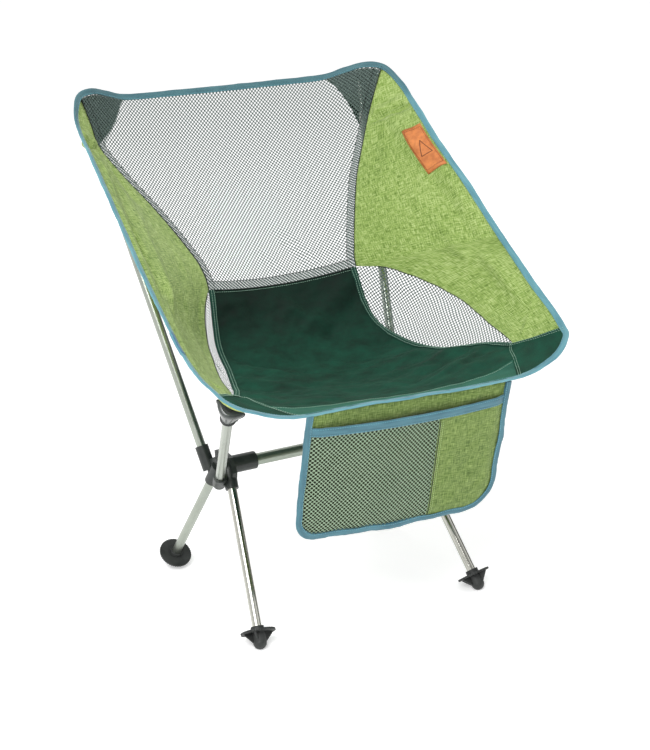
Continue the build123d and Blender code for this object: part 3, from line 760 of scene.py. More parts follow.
def side_surface(rows, first, last, columns):
    """The right side panel at fractional rows, between two shares of the way from the seam to the outer edge."""
    seam, outer = catmull(seams, rows), catmull(outers, rows)
    share = np.linspace(0, 1, columns)[None, :]
    share = np.asarray(first)[:, None] * (1 - share) + np.asarray(last)[:, None] * share
    return seam[:, None, :] + (outer - seam)[:, None, :] * share[..., None]


def mirrored(grid):
    """The same grid on the left side, with its columns turned round so that its faces look the same way."""
    return (grid * [-1, 1, 1])[:, ::-1]


def window_share(table, rows):
    at = [row for row, share in table]
    values = np.array([[share] for row, share in table], float)
    index = np.interp(rows, at, np.arange(len(at)))
    return np.clip(catmull(values, index)[:, 0], 0, 1)


# back mesh: rows of the main surface, lifted at the top to meet the binding's rising corners
shares = np.linspace(-1, 1, 97)
back_rows = np.linspace(0, BACK_END, 150)
back_grid = main_surface(back_rows, shares)
rise = edge_curve(top_edge, shares * 0.985) - back_grid[0]
back_grid += rise[None] * (np.clip(1 - back_rows / 1.6, 0, 1) ** 2)[:, None, None]
BACK_FOLDS = [
    ((0.02, 0.11, 0.405), (-0.015, 0.15, 0.45), 0.010, 0.003),
    ((0.07, 0.115, 0.415), (0.03, 0.165, 0.465), 0.009, 0.003),
    ((0.045, 0.112, 0.41), (0.01, 0.158, 0.458), 0.008, -0.0025),
    ((-0.06, 0.11, 0.405), (-0.07, 0.15, 0.45), 0.010, 0.0025),
]
back_fade = edge_fade(back_grid, 0.03)
back_height = fractal(cloth_uv(back_grid), (7, 4), 3.1, 2) * 0.0022 * back_fade
back_height += folds_height(back_grid, BACK_FOLDS) * edge_fade(back_grid, 0.012)
back_grid = displaced(back_grid, back_height)

# seat: rows of the main surface, then a strip that ends along the front edge
seat_rows = np.linspace(BACK_END, SEAT_END, 140)
seat_shares = np.linspace(-1, 1, 121)
seat_grid = main_surface(seat_rows, seat_shares)
front_line = edge_curve(front_edge, seat_shares)
strip = np.linspace(0, 1, 36)[1:]
front_strip = seat_grid[-1][None] * (1 - strip)[:, None, None] + front_line[None] * strip[:, None, None]
front_strip[:, :, 2] -= (0.0025 * np.sin(math.pi * strip))[:, None] * (1 - seat_shares[None] ** 6)
seat_grid = np.concatenate([seat_grid, front_strip])
STRIP_START, SEAT_LAST = 139, 174
SEAT_FOLDS = [
    ((-0.11, 0.045, 0.348), (-0.03, 0.02, 0.318), 0.010, 0.005),
    ((-0.115, 0.03, 0.338), (-0.05, 0.00, 0.312), 0.008, -0.004),
    ((-0.12, 0.01, 0.333), (-0.06, -0.02, 0.312), 0.008, 0.003),
    ((-0.135, -0.03, 0.325), (-0.06, -0.07, 0.312), 0.010, 0.003),
    ((-0.15, -0.08, 0.328), (-0.08, -0.11, 0.318), 0.008, -0.0025),
    ((0.105, 0.085, 0.395), (0.02, 0.06, 0.348), 0.010, 0.005),
    ((0.11, 0.075, 0.375), (0.045, 0.04, 0.333), 0.010, -0.006),
    ((0.10, 0.05, 0.345), (0.03, 0.03, 0.325), 0.009, 0.004),
    ((0.0, 0.088, 0.378), (0.05, 0.05, 0.338), 0.010, 0.004),
    ((-0.06, 0.09, 0.38), (-0.02, 0.055, 0.343), 0.009, -0.004),
    ((-0.02, 0.095, 0.386), (0.02, 0.07, 0.356), 0.007, 0.003),
    ((0.125, 0.02, 0.333), (0.06, -0.02, 0.312), 0.011, -0.004),
    ((0.15, -0.05, 0.326), (0.02, -0.06, 0.309), 0.008, 0.0025),
    ((0.165, -0.085, 0.334), (0.03, -0.13, 0.321), 0.010, 0.0035),
    ((0.18, -0.11, 0.342), (0.04, -0.15, 0.326), 0.008, -0.003),
    ((0.19, -0.135, 0.348), (0.08, -0.17, 0.333), 0.006, 0.003),
    ((-0.18, -0.14, 0.35), (-0.05, -0.185, 0.334), 0.008, 0.003),
    ((-0.06, -0.12, 0.32), (-0.045, -0.165, 0.328), 0.006, -0.003),
]
seat_fade = edge_fade(seat_grid, 0.02)
seat_height = fractal(cloth_uv(seat_grid), (9, 13), 8.4, 4) * 0.0052 * seat_fade
seat_height += folds_height(seat_grid, SEAT_FOLDS, 1.15, 1.35) * seat_fade
front_ease = 1 - 0.75 * smooth((np.arange(len(seat_grid)) - STRIP_START - 10) / 10)[:, None]
seat_grid = uneven(displaced(seat_grid, seat_height * front_ease))

# side panels and their mesh windows
SIDE_COLUMNS = 49
side_rows = np.linspace(0, SEAT_END, 240)
SIDE_FOLDS = [
    ((0.225, 0.205, 0.60), (0.235, 0.11, 0.555), 0.008, 0.003),
    ((0.215, 0.185, 0.565), (0.235, 0.03, 0.495), 0.010, -0.004),
    ((0.24, 0.10, 0.56), (0.245, -0.05, 0.465), 0.009, 0.004),
    ((0.225, 0.08, 0.53), (0.232, -0.05, 0.445), 0.006, -0.003),
    ((0.205, 0.12, 0.515), (0.22, -0.03, 0.435), 0.009, 0.0045),
    ((0.185, 0.13, 0.50), (0.205, 0.00, 0.425), 0.007, -0.0035),
    ((0.165, 0.13, 0.475), (0.185, 0.03, 0.42), 0.009, 0.0035),
    ((0.25, -0.02, 0.49), (0.25, -0.13, 0.42), 0.010, -0.0035),
    ((0.235, -0.03, 0.45), (0.24, -0.14, 0.395), 0.008, 0.003),
    ((0.20, 0.205, 0.575), (0.185, 0.15, 0.525), 0.009, -0.002),
    ((0.215, -0.165, 0.362), (0.256, -0.137, 0.412), 0.0022, 0.0016),
    ((0.205, 0.222, 0.580), (0.254, 0.169, 0.613), 0.0045, -0.0040),
    ((0.209, 0.223, 0.592), (0.253, 0.178, 0.623), 0.0070, 0.0035),
]


def finished_side(table, seed):
    grid = side_surface(side_rows, window_share(table, side_rows), np.ones_like(side_rows), SIDE_COLUMNS)
    fade = edge_fade(grid, 0.02)
    across = np.sin(np.linspace(0, math.pi, SIDE_COLUMNS))[None, :]
    height = -0.005 * across * np.sin(math.pi * side_rows / SEAT_END)[:, None]
    height = height + fractal(cloth_uv(grid), (15, 5), seed, 3) * 0.0028 * fade
    height = height + folds_height(grid, SIDE_FOLDS, height_scale=1.5) * edge_fade(grid, 0.012)
    return displaced(grid, height)


side_right = uneven(finished_side(WINDOW_RIGHT, 5.7))
side_left = uneven(mirrored(finished_side(WINDOW_LEFT, 14.2)))

WINDOW_FOLDS = [
    ((0.150, 0.06, 0.40), (0.175, -0.07, 0.35), 0.008, 0.004),
    ((0.185, 0.01, 0.39), (0.195, -0.10, 0.365), 0.009, -0.004),
    ((0.140, 0.05, 0.375), (0.155, -0.03, 0.335), 0.007, -0.003),
]


def finished_window(table, seed):
    rows = np.linspace(BACK_END + 0.03, SEAT_END - 0.03, 110)
    grid = side_surface(rows, np.zeros_like(rows), window_share(table, rows), 25)
    fade = edge_fade(grid, 0.012)
    height = fractal(cloth_uv(grid), (14, 9), seed, 3) * 0.0022 + folds_height(grid, WINDOW_FOLDS)
    return displaced(grid, height * fade)


window_right = finished_window(WINDOW_RIGHT, 2.2)
window_left = mirrored(finished_window(WINDOW_LEFT, 6.9))


def add_sheet(
    name, grid, material, replaced=(), thickness=0.0, body=SLING_BODY, uv=None
):
    """A sheet of cloth over a grid."""
    piece = sheet_object(name, grid, [material], thickness, uv)
    finish_piece(piece, body, replaced)
    flat_uv = cloth_uv(grid)
    return piece


def add_stitches(name, lines, material, slot_name, body=SLING_BODY, **settings):
    return finish_piece(stitches(name, lines, paint[material], **settings), body)


def add_ridge(name, points, outward, radius, material, body=SLING_BODY):
    """A thin sewn ridge: a fine cord of flattened section along a line."""
    turns = np.linspace(0, 2 * math.pi, 9)[:-1]
    profile = np.stack([np.cos(turns) * radius, np.sin(turns) * radius * 0.8], axis=1)
    return finish_piece(sweep(name, points, outward, profile, [paint[material]]), body)


def patch(grid, i, j, lift):
    """A new grid lying on another one, at fractional rows i and columns j (both 2-D), raised by lift."""
    points, normals = on_grid(grid, np.ravel(i), np.ravel(j), 0.0)
    points = points + normals * np.broadcast_to(np.ravel(lift), len(points))[:, None]
    return points.reshape(*i.shape, 3)


back_plane = flat_frame(back_grid)
back_uv = plane_uv(back_grid, back_plane)
add_sheet("back_mesh_cloth", back_grid, paint["mesh"], ["back_mesh"], uv=back_uv)
add_sheet("seat_cloth", seat_grid, paint["seat"], ["seat_panel"], thickness=SEAT_THICKNESS)
for side, panel in (("right", side_right), ("left", side_left)):
    add_sheet(
        f"side_cloth_{side}", panel, paint["heather"], [f"side_panel_{side}"],
        thickness=SIDE_THICKNESS,
    )
for side, window in (("right", window_right), ("left", window_left)):
    window_uv = plane_uv(window, flat_frame(window))
    add_sheet(f"side_window_{side}", window, paint["mesh"], [f"side_mesh_{side}"], uv=window_uv)

# ------------------------------------------------------------ seams: doubled mesh, hems and black piping

BACK_COLUMNS, BACK_LAST = 96, 149
SECOND_LAYER = 0.0015
SEAM_WIDTH, HEM_WIDTH, HEM_ROWS = 0.0105, 0.0085, 5.2
FINE_THREAD, TAPE_THREAD = 0.00026, 0.00028
row_width = np.linalg.norm(np.diff(back_grid, axis=1), axis=2).sum(axis=1)


def doubled_mesh(name, grid):
    """A second layer of mesh, whose holes don't line up with those of the first."""
    uv = plane_uv(grid, back_plane, SECOND_LAYER)
    return add_sheet(name, grid, paint["mesh"], uv=uv)


def edge_strip(rows, edge, sign, width):
    """Rows and columns of a strip inside a grid's edge column, at each row a number of columns wide."""
    steps = np.linspace(1, 0, 4) if sign > 0 else np.linspace(0, 1, 4)
    return np.repeat(rows[:, None], len(steps), axis=1), edge - sign * width[:, None] * steps[None, :]


band_rows = np.arange(BACK_LAST + 1.0)
band_width = SEAM_WIDTH / row_width * BACK_COLUMNS
for side, sign in (("right", 1), ("left", -1)):
    edge = BACK_COLUMNS if sign > 0 else 0
    doubled_mesh(f"seam_mesh_{side}", patch(back_grid, *edge_strip(band_rows, edge, sign, band_width), 0.0009))
    points, normals = on_grid(back_grid, band_rows, edge, 0.0010)
    add_ridge(f"back_seam_{side}", points, normals, 0.0007, "dark_thread")
    points, normals = on_grid(back_grid, band_rows[2:], edge - sign * band_width[2:], 0.0010)
    add_ridge(f"back_seam_fold_{side}", points, normals, 0.00035, "dark_thread")

hem_columns = np.linspace(1.5, BACK_COLUMNS - 1.5, 95)
i, j = np.meshgrid(np.linspace(BACK_LAST - HEM_ROWS, BACK_LAST, 4), hem_columns, indexing="ij")
doubled_mesh("back_hem_mesh", patch(back_grid, i, j, 0.0010))
points, normals = on_grid(back_grid, BACK_LAST, hem_columns, 0.0008)
add_ridge("back_hem_piping", points, normals, 0.0009, "dark_thread")
points, normals = on_grid(back_grid, BACK_LAST - HEM_ROWS, hem_columns, 0.0012)
add_ridge("back_hem_fold", points, normals, 0.00045, "dark_thread")

for side, window in (("right", window_right), ("left", window_left)):
    rows = np.arange(2, len(window) - 2, 1.0)
    points, normals = on_grid(window, rows, window.shape[1] - 1 if side == "right" else 0, 0.0008)
    add_ridge(f"window_seam_{side}", points, normals, 0.0006, "dark_thread")

# the seat's folded side hems and its stitches
seat_span = np.linalg.norm(np.diff(seat_grid, axis=1), axis=2).sum(axis=1)
seat_columns = seat_grid.shape[1] - 1


def seat_inset(rows, distance):
    """How many columns a distance takes at each row of the seat."""
    return distance / np.interp(rows, np.arange(len(seat_span)), seat_span) * seat_columns


HEM_END = 0.42
seat_middle = seat_columns / 2


def hem_share(rows):
    """How much of the half width the front hem takes: less towards the front, where the corners are green."""
    return 1 - HEM_END * ((rows - STRIP_START) / (SEAT_LAST - STRIP_START)) ** 0.8


seat_lines, hem_lines = [], []
for side, sign in (("right", 1), ("left", -1)):
    edge = seat_columns if sign > 0 else 0
    rows = np.linspace(0, STRIP_START, 140)
    hem = patch(seat_grid, *edge_strip(rows, edge, sign, seat_inset(rows, HEM_WIDTH)), 0.0011)
    add_sheet(f"seat_side_hem_{side}", hem, paint["dark_hem"], thickness=0.0006)
    for distance in (0.0030, 0.0070):
        seat_lines.append(on_grid(seat_grid, rows, edge - sign * seat_inset(rows, distance), 0.0017))
    rows = np.linspace(STRIP_START, SEAT_LAST, 40)
    for distance in (0.0030, 0.0065):
        hem_lines.append(on_grid(seat_grid, rows, edge - sign * seat_inset(rows, distance), 0.0017))
    for distance in (0.0, 0.0035):
        columns = seat_middle * (1 + sign * hem_share(rows)) - sign * seat_inset(rows, distance)
        hem_lines.append(on_grid(seat_grid, rows, columns, 0.0018))
columns = np.linspace(1, seat_columns - 1, 200)
seat_lines.append(on_grid(seat_grid, 1.6, columns, 0.0007))

# the front hem is folded over on top, and a line of stitches holds it
hem_start = STRIP_START + 15.0
i = np.linspace(hem_start, SEAT_LAST - 1, 16)[:, None] + np.zeros((1, 100))
j = seat_middle + (seat_middle * hem_share(i) - 1.5) * np.linspace(-1, 1, 100)[None, :]
hem_grid = patch(seat_grid, i, j, 0.0013)
# the hem's lighter cloth is painted highlight along the folded front
add_sheet("seat_front_hem", hem_grid, paint["hem"], thickness=0.0007)
hem_lines.append(on_grid(hem_grid, 1.1, np.linspace(0.5, 98.5, 160), 0.0005))
add_stitches("seat_side_stitches", seat_lines, "pale_thread", "seat_cloth")
add_stitches("seat_front_stitches", hem_lines, "pale_thread", "seat_cloth")

# stitches along the green side of the long seams
green_lines = []
for panel, column in ((side_right, 0.9), (side_left, SIDE_COLUMNS - 1.9)):
    rows = np.linspace(6, len(side_rows) - 6, 300)
    green_lines.append(on_grid(panel, rows, column, 0.0007))
add_stitches("side_panel_stitches", green_lines, "green_thread", "heather_cloth", radius=FINE_THREAD)

# ------------------------------------------------------------ back corners: doubled mesh over a pocket for the pole


def tube_axis(node):
    """The two ends of a straight tube's axis, the lower one first."""
    thing = frame["nodes"][node]
    points = np.array([thing.matrix_world @ vertex.co for vertex in thing.data.vertices])
    middle = points.mean(axis=0)
    axis = np.linalg.svd(points - middle, full_matrices=False)[2][0]
    axis = axis * np.sign(axis[2])
    along = (points - middle) @ axis
    low, high = points[along < along.min() + 0.0006], points[along > along.max() - 0.0006]
    return low.mean(axis=0), high.mean(axis=0)


POCKET_STEPS, POCKET_SPLIT = 33, 18
POCKET_START, SIDE_START = 0.12, 0.14
POUCH_INSIDE, PLUG_FADE = 0.0018, 0.012
PLUG_HEAD, POUCH_ROOM, POUCH_SPREAD = 0.009, 0.0115, 0.0175
POUCH_BACK = (0.12, 0.95, -0.2)
across = np.linspace(0, 1, POCKET_STEPS)
mesh_part = np.linspace(0, 1, POCKET_SPLIT)
mesh_low = 2.0 * mesh_part**1.12 + 0.02
side_low = np.linspace(2.14, 2.06, POCKET_STEPS - POCKET_SPLIT + 1)[1:]
down = np.linspace(0, 1, 29)
pouch_lines = []
for side, sign in (("right", 1), ("left", -1)):
    panel = side_right if sign > 0 else side_left
    rows = down[:, None] * mesh_low[None, :] + POCKET_START
    share = 0.665 + 0.33 * mesh_part[None, :] + 0 * rows
    mesh_i, mesh_j = rows / 8 * BACK_LAST, (1 + sign * share) / 2 * BACK_COLUMNS
    if sign < 0:
        mesh_i, mesh_j = mesh_i[:, ::-1], mesh_j[:, ::-1]
    corner = patch(back_grid, mesh_i, mesh_j, 0.0010)
    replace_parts(doubled_mesh(f"corner_mesh_{side}", corner), f"top_corner_layer_{side}")

    low, high = tube_axis(f"back_pole_upper_{side}")
    axis = (high - low) / np.linalg.norm(high - low)
    side_rows_here = down[:, None] * side_low[None, :] + SIDE_START * (1 - down[:, None])
    side_share = np.linspace(0, 0.94, len(side_low) + 1)[1:]
    side_share = side_share if sign > 0 else 1 - side_share
    side_j = side_share[None, :] * (SIDE_COLUMNS - 1) + 0 * side_rows_here
    side_i = side_rows_here / SEAT_END * (len(side_rows) - 1)
    if sign < 0:
        side_i, side_j = side_i[:, ::-1], side_j[:, ::-1]
    mesh_grid = patch(back_grid, mesh_i, mesh_j, 0.0)
    green_grid = patch(panel, side_i, side_j, 0.0)
    whole = [mesh_grid, green_grid] if sign > 0 else [green_grid, mesh_grid]
    pouch = np.concatenate(whole, axis=1)
    normal = grid_normals(pouch)
    to_pole = low + ((pouch - low) @ axis)[..., None] * axis - pouch
    back = np.array(POUCH_BACK) * [sign, 1, 1]
    back -= (back @ axis) * axis
    back /= np.linalg.norm(back)
    behind = to_pole @ back
    aside = np.linalg.norm(to_pole - behind[..., None] * back, axis=2)
    above = np.maximum((pouch - high) @ axis - PLUG_HEAD, 0)
    reach = smooth(down * 11)[:, None] * np.exp(-((above / PLUG_FADE) ** 2))
    push = np.maximum(behind + POUCH_ROOM, 0) * np.exp(-((aside / POUCH_SPREAD) ** 2)) * reach
    pouch = pouch - normal * POUCH_INSIDE + back * push[..., None]
    name = f"pole_pocket_{side}"
    # the pouch is in the seat cloth, whose painted shade also darkens it towards its top
    add_sheet(name, pouch, paint["seat"], [f"back_corner_pouch_{side}"], thickness=0.0008)
    last = len(down) - 1
    pouch_lines.append(on_grid(pouch, last - 0.6, np.linspace(0.5, POCKET_STEPS - 1.5, 80), -0.0007))
    pouch_lines.append(on_grid(panel, side_i[-1], side_j[-1], 0.0006))
add_stitches("pole_pocket_stitches", pouch_lines, "green_thread", "seat_cloth", radius=FINE_THREAD)

# ------------------------------------------------------------ binding round the sling

EDGE_STEPS = 14
STITCH_INSET = 0.0041


def whole_loop(top, side, front):
    """A line all round the sling from its right half: over the top, down the side and in along the front."""
    half = np.concatenate([np.array(top) * MM, side[1:], np.array(front[:0:-1]) * MM])
    return np.concatenate([half, np.array(front[:1]) * MM, (half[1:] * [-1, 1, 1])[::-1]])


def closed_catmull(points, steps):
    """A smooth closed curve through points, with a number of steps between each two."""
    count = len(points)
    wrapped = np.concatenate([points[-2:], points, points[:3]])
    return catmull(wrapped, np.arange(2 * steps, (2 + count) * steps) / steps)


edge_line = uneven(closed_catmull(whole_loop(TOP_EDGE, outers, FRONT_EDGE), EDGE_STEPS))
inner_line = uneven(closed_catmull(whole_loop(TOP_EDGE_INNER, seams, FRONT_INNER), EDGE_STEPS))
outward_line = edge_line - inner_line
for _ in range(6):
    outward_line = (np.roll(outward_line, 1, axis=0) + outward_line + np.roll(outward_line, -1, axis=0)) / 3
outward_line /= np.linalg.norm(outward_line, axis=1, keepdims=True)
TAPE_PROFILE = np.array([
    (-5.2, 1.2), (-4.8, 1.45), (-2.4, 1.45), (0.6, 1.55), (2.2, 1.35), (3.1, 0.8), (3.3, 0),
    (3.1, -0.8), (2.2, -1.35), (0.6, -1.55), (-2.4, -1.45), (-4.8, -1.45), (-5.2, -1.2),
    (-4.7, -0.8), (0.6, -0.85), (2.3, -0.5), (2.3, 0.5), (0.6, 0.85), (-4.7, 0.8),
]) * MM
along_edge = lengths(edge_line)


def wave_along(along, frequency, seeds, roughness=0.6, octaves=2):
    """Smooth noise along a line."""
    return np.array([noise.fractal((at * frequency, *seeds), roughness, 2.0, octaves) for at in along])


def puckered(along, profile, seed, amount=1.0):
    """A tape's section along its length, pulled in a little where it was eased round the edge."""
    wave = wave_along(along, 45, (seed, 1.7)) * amount
    ripple = wave_along(along, 160, (seed, 9.2), 0.5, 1) * amount
    sections = profile[None] * (1 + 0.10 * wave[:, None, None])
    return sections + np.stack([wave * 0.0002, (wave[::-1] + ripple) * 0.0004], axis=1)[:, None, :]


binding = sweep(
    "sling_binding", edge_line, outward_line, puckered(along_edge, TAPE_PROFILE, 0.3), [paint["tape"]], closed=True
)
finish_piece(binding, SLING_BODY, ["edge_binding"])
edge_tangent = np.roll(edge_line, -1, axis=0) - np.roll(edge_line, 1, axis=0)
edge_tangent /= np.linalg.norm(edge_tangent, axis=1, keepdims=True)
edge_normal = np.cross(edge_tangent, outward_line)
edge_normal /= np.linalg.norm(edge_normal, axis=1, keepdims=True)
tape_lines = []
for sign in (1, -1):
    points = edge_line - outward_line * STITCH_INSET + edge_normal * sign * 0.00155
    tape_lines.append((np.concatenate([points, points[:1]]), sign * np.concatenate([edge_normal, edge_normal[:1]])))
add_stitches("binding_stitches", tape_lines, "blue_thread", "binding_tape", radius=TAPE_THREAD)

# the tape's ends overlap half way down the left side
count = len(edge_line)
overlap = np.arange(count - 16 * EDGE_STEPS - 3, count - 15 * EDGE_STEPS - 4)
overlap_profile = TAPE_PROFILE * [1.14, 1.42] + [-0.0004, 0]
lap = sweep("binding_overlap", edge_line[overlap], outward_line[overlap], overlap_profile, [paint["dark_tape"]])
finish_piece(lap, SLING_BODY)

# ------------------------------------------------------------ leather label

LABEL_ROWS = (3.28, 5.09)
i_low, i_high = (row / SEAT_END * (len(side_rows) - 1) for row in LABEL_ROWS)
turn = np.linspace(0, 1, 13)
label_i = (i_low + (i_high - i_low) * turn)[:, None] + np.zeros((1, 9))
label_first, label_last = 0.665 + 0.085 * turn, 0.925 + 0.02 * turn
label_j = label_first[:, None] + (label_last - label_first)[:, None] * np.linspace(0, 1, 9)[None, :]
label_grid = patch(side_right, label_i, label_j * (SIDE_COLUMNS - 1), 0.0016)
add_sheet("leather_label", label_grid, paint["leather"], ["label_patch"], 0.0014)
LABEL_BORDER = np.array([(0.8, 0.6), (0.8, 7.4), (11.2, 7.4), (11.2, 0.6), (0.8, 0.6)])
border = np.concatenate([
    np.linspace(a, b, steps) for a, b, steps in zip(LABEL_BORDER, LABEL_BORDER[1:], (20, 40, 20, 40))
])
label_lines = [on_grid(label_grid, border[:, 0], border[:, 1], 0.0009)]
add_stitches("label_stitches", label_lines, "tan_thread", "patch_leather", pitch=0.0026, length=0.0018)
# a plain stamped outline of a ridge tent
TENT = np.array([(7.8, 1.9), (4.2, 4.2), (7.8, 6.4)])
tent_line = np.concatenate([np.linspace(a, b, 12) for a, b in zip(TENT, np.roll(TENT, -1, axis=0))])
points, normals = on_grid(label_grid, tent_line[:, 0], tent_line[:, 1], 0.0007)
add_ridge("label_stamp", points, normals, 0.0007, "leather_edge")

# ------------------------------------------------------------ front corners: green gusset and moulded pole cup

CUP_RING = np.array([
    (-17.5, 4.5), (-12, 6.5), (0, 7), (12, 6.5), (17.5, 4.5), (16, -1), (9.5, -8), (0, -11.5), (-9.5, -8), (-16, -1),
]) * MM
CUP_NORMAL = (-0.55, 0.01, 0.83)
CUP_STAGES = [  # along the pole from its tip, share of the outline against the pole's round, scale
    (-0.0310, 0.0, 0.98), (-0.0310, 0.0, 1.10), (-0.0270, 0.02, 1.12), (-0.0215, 0.22, 1.04), (-0.0150, 0.52, 1.0),
    (-0.0080, 0.82, 1.0), (-0.0010, 1.0, 1.0), (0.0030, 1.0, 0.99), (0.0042, 1.0, 0.93), (0.0046, 1.0, 0.6),
    (0.0048, 1.0, 0.05),
]
CUP_ROUND, CUP_RIM = 0.0079, 0.0017
CUP_EDGE = (1.0, -0.25)
GUSSET_DEPTH = 0.011
GUSSET_FROM, GUSSET_TO = 17.3, 20.9  # in points of the sling's outline
for side, sign in (("right", 1), ("left", -1)):
    low, high = tube_axis(f"front_pole_{side}")
    axis = (high - low) / np.linalg.norm(high - low)
    normal = np.array(CUP_NORMAL) * [sign, 1, 1]
    normal -= (normal @ axis) * axis
    normal /= np.linalg.norm(normal)
    wide = np.cross(axis, normal)
    outline = closed_catmull(CUP_RING, 5)
    angles = np.arctan2(outline[:, 1], outline[:, 0])
    circle = np.stack([np.cos(angles), np.sin(angles)], axis=1) * CUP_ROUND

    def ring(height, mix, scale):
        shape = (circle * (1 - mix) + outline * mix) * scale
        return high + axis * height + shape[:, :1] * wide + shape[:, 1:] * normal

    rings = np.array([ring(*stage) for stage in CUP_STAGES])
    faces = grid_faces(len(rings), len(outline), closed=True)
    cup = make_object(f"pole_cup_{side}", rings.reshape(-1, 3), faces, [paint["cup"]])
    finish_piece(cup, SLING_BODY, [f"front_corner_cup_{side}"])

    # black rim: down one edge of the cup, round its neck and up the other edge
    rim = []
    for first, sign_wide in ((True, -1), (False, 1)):
        stages = CUP_STAGES[2:8]
        edge_index = int(np.argmax(sign_wide * (outline @ CUP_EDGE)))
        edge_points = [ring(*stage)[edge_index] for stage in stages]
        rim += edge_points[::-1] if first else edge_points
    rim = catmull(np.array(rim), np.linspace(0, len(rim) - 1, 70))
    away = rim - (high - axis * 0.006 + normal * 0.004)
    add_ridge(f"pole_cup_rim_{side}", rim, away, CUP_RIM, "cup_rim")
    collar = ring(-0.0285, 0.01, 1.13)
    collar = np.concatenate([collar, collar[:2]])
    add_ridge(f"pole_cup_collar_{side}", collar, collar - high, 0.0016, "cup_rim")

    along = np.arange(int(GUSSET_FROM * EDGE_STEPS), int(GUSSET_TO * EDGE_STEPS) + 1) * sign % count
    line, outside = edge_line[along], outward_line[along]
    bell = np.sin(math.pi * np.linspace(0, 1, len(along))) ** 0.7
    start_line = line - outside * 0.002
    to_cup = high - axis * 0.004 - normal * 0.002 - start_line
    to_cup /= np.linalg.norm(to_cup, axis=1, keepdims=True)
    web_steps = np.linspace(0, 1, 9)
    fall = (GUSSET_DEPTH * bell + 0.0012)[None, :, None] * web_steps[:, None, None]
    web = start_line[None] + to_cup[None] * fall
    web -= normal * (0.0016 * np.sin(math.pi * web_steps))[:, None, None] * bell[None, :, None]
    web = web if sign < 0 else web[:, ::-1]
    add_sheet(f"corner_gusset_{side}", web, paint["under_heather"], thickness=0.0008)

# ------------------------------------------------------------ organiser under the front edge

HINGE = np.array([-4, -248, 349]) * MM
LEAN, ROLL = math.radians(9), -0.030
POCKET_HALF, POCKET_TOP, POCKET_LOW = 0.147, -0.0020, -0.187
CORNER_LEFT, CORNER_RIGHT = 0.034, 0.046
DIVIDER, DIVIDER_SLOPE, MOUTH, BAND = 0.040, 0.008, -0.0200, 0.0120
TAPE_WIDE = 0.0085
MOUTH_SAG = 0.0012
SHORTER_LEFT = 0.042
BACK_LAYER = -0.0009


def pocket_point(x, y, height):
    """Organiser coordinates (x to the right, y up, height forwards) to space, in its resting place."""
    x, y, height = np.broadcast_arrays(np.asarray(x, float), np.asarray(y, float), np.asarray(height, float))
    y = y * (1 - SHORTER_LEFT * smooth(-x / POCKET_HALF))
    a = x * math.cos(ROLL) - y * math.sin(ROLL)
    b = x * math.sin(ROLL) + y * math.cos(ROLL)
    right, up = np.array([1.0, 0, 0]), np.array([0, -math.sin(LEAN), math.cos(LEAN)])
    forward = np.array([0, -math.cos(LEAN), -math.sin(LEAN)])
    return HINGE + a[..., None] * right + b[..., None] * up + height[..., None] * forward


def pocket_edge(y, sign, inset):
    """How far the organiser reaches to one side at a height, less an inset."""
    radius = CORNER_LEFT if sign < 0 else CORNER_RIGHT
    reach = np.full(np.shape(y), POCKET_HALF)
    below = POCKET_LOW + radius - np.asarray(y)
    curve = np.sqrt(np.maximum(radius**2 - np.clip(below, 0, radius) ** 2, 0))
    reach = np.where(below > 0, POCKET_HALF - radius + curve, reach)
    return sign * (reach - inset)


def pocket_bulge(x, y):
    """How far the front stands off the back: most along its mouth."""
    side = 1 - (np.clip(np.abs(x) / POCKET_HALF, 0, 1)) ** 2.4
    drop = np.clip((y - POCKET_LOW) / (MOUTH - POCKET_LOW), 0, 1)
    edge = np.minimum(pocket_edge(y, 1, 0.004) - np.abs(x), y - POCKET_LOW - 0.004)
    return 0.0004 + (0.0018 + 0.0085 * side * drop**0.8) * smooth(edge / 0.016)


def pocket_sheet(name, y_top, x_left, x_right, columns, seed, material, slot_name, replaced, sag=MOUTH_SAG):
    """A layer of the organiser between two side lines; the layers with a sagging mouth are the bulging front."""
    rows, y_low, front = 60, POCKET_LOW + inset, sag > 0
    across = np.linspace(0, 1, columns)
    y = np.linspace(y_top, y_low, rows)[:, None] + 0 * across[None, :]
    left, right = x_left(y[:, 0]), x_right(y[:, 0])
    x = left[:, None] + (right - left)[:, None] * across[None, :]
    y = y - sag * (1 - (x / POCKET_HALF) ** 2) * np.clip((y - y_low) / (y_top - y_low), 0, 1)
    flat = np.stack([x, y], axis=2)
    wave = fractal(flat, (16, 20), seed, 3) * 0.0020
    near = np.minimum(np.abs(x - left[:, None]), np.abs(right[:, None] - x)) / 0.02
    near = np.minimum(near, np.minimum(y_top - y, y - y_low) / 0.015)
    height = (pocket_bulge(x, y) if front else BACK_LAYER) + wave * smooth(near)
    thickness = 0.0 if slot_name == "mesh_cloth" else 0.0008
    add_sheet(
        name, pocket_point(x, y, height), paint[material], [replaced], thickness=thickness,
        body=POCKET_BODY, uv=flat,
    )


def divider(y):
    """Where the mesh meets the cloth: a little further right lower down."""
    return DIVIDER + DIVIDER_SLOPE * (MOUTH - np.asarray(y)) / (MOUTH - POCKET_LOW)


inset = TAPE_WIDE * 0.5


def left_edge(y):
    return pocket_edge(y, -1, inset)


def right_edge(y):
    return pocket_edge(y, 1, inset)


mouth_middle = MOUTH - BAND * 0.5
# the back panel carries painted shade below the mouth, where it lies behind the mesh
pocket_sheet(
    "organiser_back", POCKET_TOP, left_edge, right_edge, 70, 4.4, "pocket_back_shaded", "heather_cloth",
    "pocket_back_panel", sag=0.0,
)
pocket_sheet(
    "organiser_front_mesh", mouth_middle, left_edge, lambda y: divider(y) + 0.001, 60, 7.7, "pocket_mesh",
    "mesh_cloth", "pocket_front_mesh",
)
